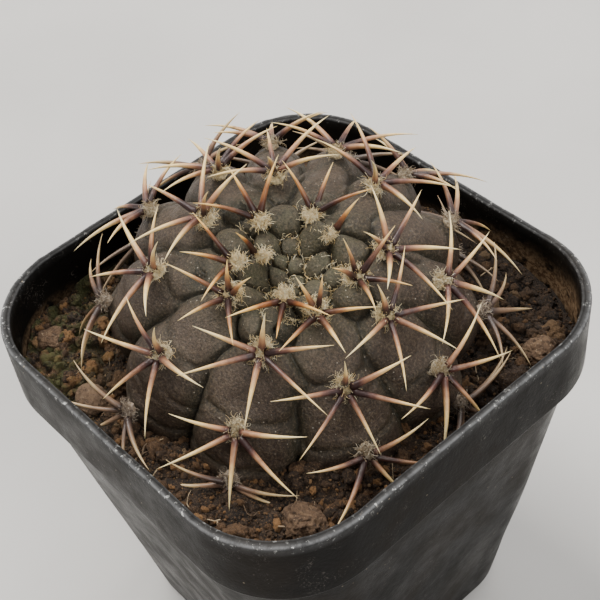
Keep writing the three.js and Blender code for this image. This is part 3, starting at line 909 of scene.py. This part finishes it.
def make_pot(material):
    profile = pot_profile()
    vertices = square_surface(profile, POT_AROUND)
    worn = smooth_step(POT_HEIGHT - 1.0, POT_HEIGHT, vertices[:, 2])
    edge = edge_wear(profile)
    outwards = unit(vertices * [1, 1, 0])
    wall = smooth_step(4, 12, vertices[:, 2])
    vertices = vertices + outwards * (wall * 0.22 * fractal(vertices, 24, 2, 21))[:, None]
    vertices[:, 2] += worn * (0.10 * fractal(vertices, 1.3, 3, 23) - 0.10)
    soiled = soiled_wall(vertices, profile)
    middles = [[0, 0, FOOT_HEIGHT], [0, 0, FLOOR_TOP]]
    vertices, face_sets = ring_shell(vertices, POT_AROUND, middles)
    piece = mesh_object("nursery_pot", vertices, face_sets, attributes={
        "edge": np.concatenate([np.repeat(edge, POT_AROUND), [0, 0]]),
        "soiled": np.concatenate([soiled, [0, 0]]),
    })
    drill_holes(piece)
    return finish_piece(piece, "pot", material, "pot")


def drill_holes(piece):
    """Cuts the drain holes through the pot's floor."""
    sides = 40
    height = 3 * FLOOR_TOP
    vertex_sets, quads, caps = [], [], []
    for i in range(DRAIN_HOLE_COUNT):
        angle = 2 * math.pi * (i + 0.5) / DRAIN_HOLE_COUNT
        middle = np.array([DRAIN_RING_RADIUS * math.cos(angle), DRAIN_RING_RADIUS * math.sin(angle), 0])
        path = middle + np.array([[0, 0, -height / 2], [0, 0, height / 2]])
        vertices, quad, cap = sweep(path[None], np.full((1, 2), DRAIN_HOLE_RADIUS), sides)
        quads.append(quad + i * len(vertices))
        caps.append(cap + i * len(vertices))
        vertex_sets.append(vertices)
    drill = mesh_object("drill", np.vstack(vertex_sets), [np.vstack(quads), np.vstack(caps)])
    cut = piece.modifiers.new("drain_holes", "BOOLEAN")
    cut.operation = "DIFFERENCE"
    cut.solver = "EXACT"
    cut.object = drill
    apply_modifiers(piece)
    bpy.data.objects.remove(drill)


def apply_modifiers(piece):
    depsgraph = bpy.context.evaluated_depsgraph_get()
    mesh = bpy.data.meshes.new_from_object(piece.evaluated_get(depsgraph))
    piece.modifiers.clear()
    piece.data = mesh


# ---- Potting mix ----

MIX_AROUND = 320
MIX_ROWS = 110
# No loose lumps are scattered nearer the stem's middle than this.
STEM_KEEP_OUT = 22.0
# Loose lumps on the mix: name, how many are tried, least and greatest size, how round each one's mesh
# is, the share sunk in the mix, and the seed of its roughness.
MIX_LUMPS = [
    ("mix_dust", 9000, (0.13, 0.32), 1, 0.30, 59),
    ("mix_grit", 2400, (0.28, 0.70), 2, 0.34, 61),
    ("mix_crumbs", 620, (0.58, 1.20), 3, 0.40, 63),
    ("mix_clods", 150, (1.1, 2.2), 4, 0.48, 67),
]


def mix_half(height):
    outside = RIM_WIDTH / 2 if height > BAND_BOTTOM + BAND_STEP else body_half(height)
    return outside - POT_WALL - GAP


def mix_height(x, y):
    """The fine top of the mix: the CAD model's lumps under crumbs and hollows."""
    points = np.stack([x, y, np.zeros_like(x)], -1)
    crumbs = 0.8 * fractal(points, 3.4, 3, 31) + 0.55 * np.abs(fractal(points, 1.1, 3, 37))
    crumbs = crumbs - 2.0 * np.exp(-(((x - 21) / 6) ** 2 + ((y - 17) / 7) ** 2))
    edge = np.maximum(np.abs(x), np.abs(y)) / mix_half(MIX_TOP)
    return mix_surface(x, y) - 0.35 + crumbs * 0.8 + 0.8 * smooth_step(0.9, 1.0, edge)


def make_mix(material):
    floor = FLOOR_TOP + GAP
    side = filled_in(np.array([
        [2.0, floor],
        [mix_half(floor), floor],
        [mix_half(BAND_BOTTOM), BAND_BOTTOM],
        [mix_half(MIX_TOP), BAND_BOTTOM + BAND_STEP + GAP],
        [mix_half(MIX_TOP), MIX_TOP - 1.5],
    ]), 4.0)
    lower = square_surface(side, MIX_AROUND)
    halves = np.linspace(mix_half(MIX_TOP), 0.6, MIX_ROWS)
    upper = square_surface(np.column_stack([halves, np.zeros(MIX_ROWS)]), MIX_AROUND)
    upper[:, 2] = mix_height(upper[:, 0], upper[:, 1])
    middles = [[0, 0, floor], upper[-MIX_AROUND:].mean(0)]
    vertices, face_sets = ring_shell(np.vstack([lower, upper]), MIX_AROUND, middles)
    piece = mesh_object("potting_mix_body", vertices, face_sets)
    return finish_piece(piece, "potting_mix", material, "potting_mix")


def low_points(chosen):
    """Points along the spines and on the areoles that hang near the mix."""
    paths = [
        spine_path(AREOLES[index], turn, lift, length, 16)
        for index, spines in chosen.items() for turn, lift, length in spines
    ]
    points = to_frame(np.vstack(paths + [AREOLE_TOPS]))
    return points[points[:, 2] < MIX_TOP + 5]


def free_mix_places(count, margin):
    """Random places on the mix, clear of the stem and the walls."""
    half = mix_half(MIX_TOP) - margin
    places = rng.uniform(-half, half, (count * 4, 2))
    radius = RIM_CORNER_RADIUS - POT_WALL - GAP - margin
    beyond = np.maximum(np.abs(places) - (half - radius), 0)
    inside = np.hypot(beyond[:, 0], beyond[:, 1]) < radius
    shift = LEANING[:2, 2] * 2
    clear = np.hypot(places[:, 0] + shift[0], places[:, 1] + shift[1]) > STEM_KEEP_OUT
    return places[inside & clear][:count]


def make_lumps(material, kept_free, name, count, sizes, roundness, sink, seed):
    """Scattered rough lumps on the mix, joined in one piece. They keep off the points given."""
    vertices, faces = ico_ball(roundness)
    places = free_mix_places(count, sizes[1] * 0.8)
    size = sizes[0] * (sizes[1] / sizes[0]) ** (rng.uniform(0, 1, len(places)) ** 2.2)
    z = mix_height(places[:, 0], places[:, 1]) + size * (1 - 2 * sink)
    middles = np.column_stack([places, z])
    clear = np.array([np.linalg.norm(kept_free - m, axis=1).min() for m in middles]) > size * 1.15 + 0.5
    middles, size = middles[clear], size[clear]
    count = len(middles)
    offsets = rng.uniform(-50, 50, (count, 1, 3))
    bumpy = 1
    for order, (height, fineness) in enumerate(((0.38, 1.3), (0.22, 2.9), (0.20, 5.3))):
        bumpy = bumpy + height * noise(vertices[None] * fineness + offsets, 1.0, seed + order)
    stretch = rng.uniform(0.65, 1.25, (count, 1, 3))
    lumps = vertices[None] * bumpy[..., None] * stretch * size[:, None, None]
    lumps = np.einsum("nij,nkj->nki", random_turns(count), lumps)
    lumps = lumps + middles[:, None]
    starts = (np.arange(count) * len(vertices))[:, None, None]
    tone = np.repeat(rng.uniform(0, 1, count), len(vertices))
    piece = mesh_object(name, lumps.reshape(-1, 3), [(faces[None] + starts).reshape(-1, 3)],
                        attributes={"tone": tone})
    return finish_piece(piece, "potting_mix", material)


def random_turns(count):
    """Random rotation matrices."""
    q = unit(rng.normal(size=(count, 4)))
    w, x, y, z = q.T
    return np.stack([
        np.stack([1 - 2 * (y * y + z * z), 2 * (x * y - z * w), 2 * (x * z + y * w)], -1),
        np.stack([2 * (x * y + z * w), 1 - 2 * (x * x + z * z), 2 * (y * z - x * w)], -1),
        np.stack([2 * (x * z - y * w), 2 * (y * z + x * w), 1 - 2 * (x * x + y * y)], -1),
    ], 1)


def make_stones(material):
    """One rounded stone and rough, crumbly clods."""
    ball, faces = ico_ball(6)
    for order, (name, stone) in enumerate(STONES.items()):
        rough = 0.35 if name.startswith("stone") else 1.0
        lumps = 1 + (0.08 + 0.16 * rough) * noise(ball + 9 * order, 0.9, 41)
        lumps = lumps + 0.10 * rough * fractal(ball + order, 0.45, 4, 43)
        lumps = lumps - 0.16 * rough * np.maximum(fractal(ball + order, 0.24, 3, 47), 0)
        size = stone[-1] * lumps[:, None] * np.array([1.05, 0.92, STONE_FLATNESS])
        vertices = stone_centre(stone) + ball * size
        piece = mesh_object(name + "_rough", vertices, [faces], attributes={
            "tone": np.full(len(vertices), 1.0 - rough),
        })
        finish_piece(piece, "stones", material, name)


def make_fibres(material):
    """A few dry root fibres lying on the mix."""
    count, steps = 46, 12
    places = free_mix_places(count, 3.0)
    count = len(places)
    root = np.column_stack([places, np.zeros(count)])
    heading = np.column_stack([rng.normal(size=(count, 2)), np.zeros(count)])
    paths = curly_paths(root, heading, rng.uniform(3, 9, count), 2.0, steps)
    hover = 0.35 + 0.5 * np.abs(noise(paths, 2.0, 51))
    paths[..., 2] = mix_height(paths[..., 0], paths[..., 1]) + hover
    half = mix_half(MIX_TOP) - 0.8
    paths[..., :2] = np.clip(paths[..., :2], -half, half)
    radii = np.linspace(0.10, 0.04, steps) * rng.uniform(0.6, 1.3, (count, 1))
    vertices, quads, caps = sweep(paths, radii, 5)
    piece = mesh_object("mix_root_fibres", vertices, [quads, caps], attributes={
        "tone": np.repeat(rng.uniform(0, 1, count), steps * 5 + 2),
    })
    finish_piece(piece, "potting_mix", material)


# ---- Materials ----

class Paint:
    """A node material with short calls for the nodes used here. Object coordinates are in metres."""

    def __init__(self, name):
        self.material = bpy.data.materials.new(name)
        self.material.use_nodes = True
        self.nodes = self.material.node_tree.nodes
        self.links = self.material.node_tree.links
        self.shader = self.nodes["Principled BSDF"]
        self.place = self.nodes.new("ShaderNodeTexCoord").outputs["Object"]

    def put(self, socket, value):
        if isinstance(value, bpy.types.NodeSocket):
            self.links.new(value, socket)
        else:
            socket.default_value = value

    def texture(self, kind, size, output, **settings):
        """A texture whose features are about size millimetres across."""
        node = self.nodes.new(kind)
        self.links.new(self.place, node.inputs["Vector"])
        node.inputs["Scale"].default_value = 1 / (size * MM)
        for key, value in settings.items():
            node.inputs[key].default_value = value
        return node.outputs[output]

    def noise(self, size, detail=3.0, rough=0.55, warp=0.0):
        settings = {"Detail": detail, "Roughness": rough, "Distortion": warp}
        return self.texture("ShaderNodeTexNoise", size, "Fac", **settings)

    def cells(self, size):
        return self.texture("ShaderNodeTexVoronoi", size, "Distance")

    def attribute(self, name):
        node = self.nodes.new("ShaderNodeAttribute")
        node.attribute_name = name
        return node.outputs["Fac"]

    def math(self, operation, a, b=0.0):
        node = self.nodes.new("ShaderNodeMath")
        node.operation = operation
        self.put(node.inputs[0], a)
        self.put(node.inputs[1], b)
        return node.outputs[0]

    def times(self, a, b):
        return self.math("MULTIPLY", a, b)

    def span(self, value, low, high, to_low=0.0, to_high=1.0):
        """value stretched from low..high to to_low..to_high, smoothly and kept within them."""
        node = self.nodes.new("ShaderNodeMapRange")
        node.interpolation_type = "SMOOTHSTEP"
        for index, amount in enumerate((value, low, high, to_low, to_high)):
            self.put(node.inputs[index], amount)
        return node.outputs[0]

    def ramp(self, value, *stops):
        """Colours along a value: each stop is a place from 0 to 1 and a colour."""
        node = self.nodes.new("ShaderNodeValToRGB")
        self.put(node.inputs["Fac"], value)
        elements = node.color_ramp.elements
        while len(elements) < len(stops):
            elements.new(0.5)
        for element, (place, colour) in zip(elements, stops):
            element.position = place
            element.color = (*colour, 1)
        return node.outputs["Color"]

    def mix(self, share, a, b):
        node = self.nodes.new("ShaderNodeMix")
        node.data_type = "RGBA"
        for socket, value in zip((node.inputs["Factor"], node.inputs[6], node.inputs[7]), (share, a, b)):
            self.put(socket, (*value, 1) if isinstance(value, tuple) else value)
        return node.outputs[2]

    def axis(self, name):
        node = self.nodes.new("ShaderNodeSeparateXYZ")
        self.links.new(self.place, node.inputs[0])
        return node.outputs[name]

    def bump(self, height, depth, normal=None):
        """A bump whose full height is depth millimetres."""
        node = self.nodes.new("ShaderNodeBump")
        node.inputs["Distance"].default_value = depth * MM
        self.put(node.inputs["Height"], height)
        if normal is not None:
            self.links.new(normal, node.inputs["Normal"])
        return node.outputs["Normal"]

    def surface(self, colour, roughness, normal=None, **others):
        self.put(self.shader.inputs["Base Color"], colour)
        self.put(self.shader.inputs["Roughness"], roughness)
        if normal is not None:
            self.links.new(normal, self.shader.inputs["Normal"])
        for key, value in others.items():
            self.shader.inputs[key.replace("_", " ")].default_value = value
        return self.material


def stem_material():
    """Matt brown-grey skin, greener in the crown and furrows, purplish low down, finely speckled, with
    painted shade darkening the furrows' valleys and lines.
    """
    p = Paint("stem_skin")
    patch = p.noise(6.0, 3)
    skin = p.mix(p.span(patch, 0.35, 0.65), (0.044, 0.027, 0.0165), (0.066, 0.043, 0.0265))
    skin = p.mix(p.times(p.attribute("age"), 0.7), skin, (0.046, 0.028, 0.024))
    crown = p.times(p.attribute("crown"), p.span(p.noise(3.0), 0.3, 0.7, 0.5, 1.0))
    skin = p.mix(crown, skin, (0.060, 0.058, 0.026))
    # Painted shade: the valleys round the furrows are darkened towards a dark green, partly a greener
    # skin and partly shade, and the furrow lines almost to black, as shade in the creases.
    skin = p.mix(p.times(p.attribute("valley"), 0.8), skin, (0.032, 0.031, 0.016))
    skin = p.mix(p.times(p.attribute("furrow"), 0.75), skin, (0.015, 0.014, 0.007))
    fine = p.noise(0.34, 4, 0.75)
    skin = p.mix(p.span(fine, 0.51, 0.64, 0, 0.8), skin, (0.130, 0.096, 0.060))
    skin = p.mix(p.span(fine, 0.49, 0.38, 0, 0.8), skin, (0.014, 0.010, 0.006))
    spot = p.times(p.span(p.cells(0.9), 0.14, 0.06), p.span(p.noise(5.0), 0.46, 0.62))
    skin = p.mix(p.times(spot, 0.8), skin, (0.50, 0.46, 0.38))
    flakes = p.span(p.noise(0.8, 4, 0.7, 1.5), 0.64, 0.70)
    scurf = p.times(flakes, p.span(p.noise(9.0), 0.50, 0.62))
    skin = p.mix(p.times(scurf, 0.5), skin, (0.33, 0.28, 0.21))
    grain = p.math("ADD", fine, p.times(p.noise(1.1, 3), 0.3))
    normal = p.bump(grain, 0.26)
    return p.surface(skin, p.span(p.noise(0.8), 0.3, 0.7, 0.42, 0.62), normal)


def spine_material():
    """Reddish-brown roots, pinkish-grey lower halves and straw-coloured points, dull when old."""
    p = Paint("spine_horn")
    along = p.math("ADD", p.attribute("along"), p.span(p.noise(2.5), 0.2, 0.8, -0.10, 0.10))
    along = p.math("ADD", along, p.span(p.attribute("tone"), 0, 1, -0.20, 0.04))
    fresh = p.ramp(along, (0.0, (0.018, 0.003, 0.001)), (0.24, (0.055, 0.011, 0.003)),
                   (0.44, (0.30, 0.095, 0.016)), (0.64, (0.80, 0.45, 0.105)), (1.0, (0.93, 0.72, 0.30)))
    grown = p.ramp(along, (0.0, (0.026, 0.009, 0.008)), (0.12, (0.11, 0.044, 0.032)),
                   (0.32, (0.46, 0.235, 0.115)), (0.54, (0.88, 0.62, 0.25)), (1.0, (0.96, 0.82, 0.46)))
    old = p.ramp(along, (0.0, (0.06, 0.042, 0.034)), (0.40, (0.19, 0.130, 0.088)),
                 (1.0, (0.62, 0.47, 0.27)))
    age = p.attribute("age")
    colour = p.mix(p.span(age, 0.12, 0.34), fresh, grown)
    colour = p.mix(p.span(age, 0.62, 0.92), colour, old)
    streak = p.times(p.span(p.noise(0.35, 3, 0.7), 0.35, 0.65, 0.0, 0.3), along)
    colour = p.mix(streak, colour, (0.42, 0.27, 0.16))
    normal = p.bump(p.noise(0.25, 3, 0.6), 0.05)
    return p.surface(colour, 0.42, normal)


def wool_material():
    """Cream-yellow plant wool, greyer on old areoles, with brown patches at random as painted shade."""
    p = Paint("areole_wool")
    tone = p.attribute("tone")
    fresh = p.ramp(tone, (0.0, (0.80, 0.55, 0.22)), (0.5, (0.93, 0.78, 0.46)), (1.0, (0.96, 0.90, 0.68)))
    worn = p.ramp(tone, (0.0, (0.13, 0.095, 0.075)), (0.5, (0.32, 0.25, 0.19)), (1.0, (0.66, 0.58, 0.47)))
    colour = p.mix(p.span(p.attribute("age"), 0.35, 0.85), fresh, worn)
    # Painted shade: brown patches at random stand in for the shadows among the hairs.
    colour = p.mix(p.span(p.noise(0.4, 3), 0.52, 0.36, 0, 0.6), colour, (0.30, 0.20, 0.10))
    return p.surface(colour, 0.9, p.bump(p.noise(0.2, 3, 0.7), 0.25))


def pot_material():
    """Black moulded plastic: brownish dusty film, fine scratches, specks, and a worn grey rim."""
    p = Paint("pot_plastic")
    film = p.span(p.noise(14, 4, 0.6), 0.42, 0.68)
    colour = p.mix(film, (0.0045, 0.0041, 0.0038), (0.0115, 0.0092, 0.0072))
    rim = p.attribute("edge")
    worn = p.times(rim, p.span(p.noise(1.3, 4, 0.7), 0.25, 0.60, 0.35, 1.0))
    colour = p.mix(p.times(worn, 0.9), colour, (0.190, 0.192, 0.196))
    nicks = p.times(rim, p.span(p.noise(0.8, 3, 0.7), 0.60, 0.66))
    colour = p.mix(nicks, colour, (0.62, 0.62, 0.60))
    soiled = p.times(p.attribute("soiled"), p.span(p.noise(2.6, 5, 0.7), 0.36, 0.52))
    crust = p.mix(p.span(p.noise(0.6, 4, 0.7), 0.40, 0.60), (0.085, 0.050, 0.028), (0.230, 0.155, 0.092))
    colour = p.mix(soiled, colour, crust)
    specks = p.times(p.span(p.cells(1.9), 0.09, 0.05), p.span(p.noise(9), 0.48, 0.66))
    colour = p.mix(p.times(specks, 0.6), colour, (0.36, 0.30, 0.22))
    scratch = p.span(p.noise(0.9, 2, 0.5, 3.0), 0.60, 0.66)
    scratch = p.times(scratch, p.span(p.noise(5), 0.5, 0.65))
    colour = p.mix(p.times(scratch, 0.25), colour, (0.20, 0.18, 0.16))
    rough = p.span(p.noise(7, 4, 0.65), 0.3, 0.7, 0.27, 0.46)
    rough = p.math("ADD", rough, p.times(rim, 0.25))
    normal = p.bump(p.noise(3.5, 3, 0.5), 0.10)
    normal = p.bump(p.noise(0.5, 3, 0.6), 0.03, normal)
    return p.surface(colour, rough, normal, Specular_IOR_Level=0.05)


def mix_material(name, with_tone):
    """Gritty brown potting mix, ochre in places, mossy towards one corner, with painted shade darkening
    the hollow in another.
    """
    p = Paint(name)
    if with_tone:
        base = p.ramp(p.attribute("tone"), (0.0, (0.018, 0.010, 0.005)), (0.45, (0.060, 0.031, 0.014)),
                      (0.78, (0.125, 0.064, 0.026)), (0.95, (0.25, 0.125, 0.045)),
                      (1.0, (0.26, 0.18, 0.10)))
    else:
        patches = p.span(p.noise(2.2, 5, 0.65), 0.35, 0.65)
        base = p.mix(patches, (0.010, 0.0055, 0.003), (0.045, 0.025, 0.013))
    grain = p.noise(0.30, 5, 0.75)
    base = p.mix(p.span(grain, 0.53, 0.64, 0, 0.65), base, (0.24, 0.140, 0.065))
    base = p.mix(p.span(grain, 0.46, 0.34, 0, 0.8), base, (0.012, 0.007, 0.004))
    corner = p.math("SUBTRACT", 0.0, p.math("ADD", p.axis("X"), p.axis("Y")))
    moss = p.times(p.span(corner, 0.034, 0.052), p.span(p.noise(2.4, 3), 0.42, 0.60))
    base = p.mix(p.times(moss, 0.75), base, (0.060, 0.068, 0.016))
    # Painted shade: the mix darkens towards the corner at +X and +Y, where the hollow lies in shade.
    hollow_painted_shade = p.span(p.times(corner, -1.0), 0.026, 0.042, 0, 0.5)
    base = p.mix(hollow_painted_shade, base, (0.010, 0.006, 0.0035))
    normal = p.bump(p.math("ADD", grain, p.noise(0.9, 4, 0.7)), 0.60)
    return p.surface(base, 0.93, normal)


def stone_material():
    """Brown pitted stone, and darker crumbly clods where tone is 0."""
    p = Paint("stone_face")
    base = p.mix(p.attribute("tone"), (0.105, 0.060, 0.032), (0.165, 0.105, 0.064))
    base = p.mix(p.span(p.noise(1.2, 5, 0.7), 0.48, 0.66, 0, 0.75), base, (0.20, 0.125, 0.070))
    base = p.mix(p.span(p.noise(0.6, 5, 0.75), 0.50, 0.34, 0, 0.85), base, (0.035, 0.020, 0.012))
    base = p.mix(p.span(p.noise(0.5, 4, 0.7), 0.60, 0.68, 0, 0.8), base, (0.34, 0.25, 0.16))
    return p.surface(base, 0.9, p.bump(p.noise(0.45, 5, 0.8), 0.45))


def fibre_material():
    p = Paint("root_fibre")
    base = p.ramp(p.attribute("tone"), (0.0, (0.10, 0.06, 0.035)), (1.0, (0.42, 0.32, 0.20)))
    base = p.mix(p.span(p.noise(0.6, 3), 0.45, 0.65, 0, 0.5), base, (0.06, 0.04, 0.025))
    return p.surface(base, 0.85, p.bump(p.noise(0.3, 3), 0.06))


def floor_material():
    p = Paint("floor_paint")
    base = p.mix(p.span(p.noise(60, 3), 0.3, 0.7), (0.50, 0.49, 0.475), (0.54, 0.53, 0.515))
    return p.surface(base, 0.8)


# ---- Stage, lights and camera ----

FLOOR_REACH = 6000.0
# Each light: name, azimuth, elevation, distance and size in metres, power and colour.
LIGHTS = [
    ("key", -78, 60, 3.5, 1.6, 190, (1.0, 0.97, 0.92)),
    ("fill", 90, 42, 4.0, 2.5, 130, (1.0, 0.98, 0.95)),
    ("back", 190, 50, 3.5, 2.0, 87.5, (1.0, 0.98, 0.95)),
]


def make_floor():
    reach = FLOOR_REACH
    corners = np.array([[-reach, -reach, 0], [reach, -reach, 0], [reach, reach, 0], [-reach, reach, 0]])
    floor = mesh_object("floor", corners, [np.array([[0, 1, 2, 3]])], smooth=False)
    floor.data.materials.append(floor_material())


def add_light(name, azimuth, elevation, distance, size, power, colour):
    """A square soft light that points at the plant."""
    lamp = bpy.data.lights.new(name, "AREA")
    lamp.size = size
    lamp.energy = power
    lamp.color = colour
    holder = bpy.data.objects.new(name, lamp)
    aim = Vector((0, 0, POT_HEIGHT * MM))
    away = direction_from(azimuth, elevation)
    holder.location = aim + away * distance
    holder.rotation_mode = "QUATERNION"
    holder.rotation_quaternion = away.to_track_quat("Z", "Y")
    bpy.context.scene.collection.objects.link(holder)


def direction_from(azimuth, elevation):
    """The direction from the plant to a viewer, where azimuth 0 stands on the -Y side."""
    a, e = math.radians(azimuth), math.radians(elevation)
    return Vector((math.sin(a) * math.cos(e), -math.cos(a) * math.cos(e), math.sin(e)))


def make_lights():
    world = bpy.data.worlds.new("studio")
    bpy.context.scene.world = world
    world.use_nodes = True
    background = world.node_tree.nodes["Background"]
    background.inputs["Color"].default_value = (0.80, 0.82, 0.85, 1)
    background.inputs["Strength"].default_value = 0.32
    for light in LIGHTS:
        add_light(*light)


CAMERA_AZIMUTH = 53.3
CAMERA_ELEVATION = 45.8
CAMERA_ROLL = -7.6
CAMERA_DISTANCE = 193.6
CAMERA_ASIDE = 1.44
CAMERA_RAISED = -0.37
CAMERA_LENS = 80.0


def make_camera():
    """The camera looks at the middle of the rim, a little aside of it, with a slight roll."""
    back = direction_from(CAMERA_AZIMUTH, CAMERA_ELEVATION)
    level = (-back).cross(Vector((0, 0, 1))).normalized()
    above = level.cross(-back)
    roll = math.radians(CAMERA_ROLL)
    right = level * math.cos(roll) + above * math.sin(roll)
    up = above * math.cos(roll) - level * math.sin(roll)
    lens = bpy.data.cameras.new("camera")
    lens.lens = CAMERA_LENS
    lens.sensor_width = 36.0
    lens.clip_start = 0.01
    holder = bpy.data.objects.new("camera", lens)
    aim = Vector((0, 0, POT_HEIGHT)) + right * CAMERA_ASIDE + up * CAMERA_RAISED
    holder.matrix_world = Matrix.Translation((aim + back * CAMERA_DISTANCE) * MM) @ Matrix(
        (right, up, back)
    ).transposed().to_4x4()
    bpy.context.scene.collection.objects.link(holder)
    bpy.context.scene.camera = holder


# ---- Build ----

make_floor()
make_lights()
make_camera()

make_pot(pot_material())
bare_mix = mix_material("mix_body", False)
lumpy_mix = mix_material("mix_lumps", True)
make_mix(bare_mix)
chosen_spines = place_all_spines()
spine_points = low_points(chosen_spines)
for lumps in MIX_LUMPS:
    make_lumps(lumpy_mix, spine_points, *lumps)
make_stones(stone_material())
make_fibres(fibre_material())

make_stem(stem_material())
make_spines(chosen_spines, spine_material())
wool = wool_material()
make_wool(wool)
make_crown_wisps(wool)
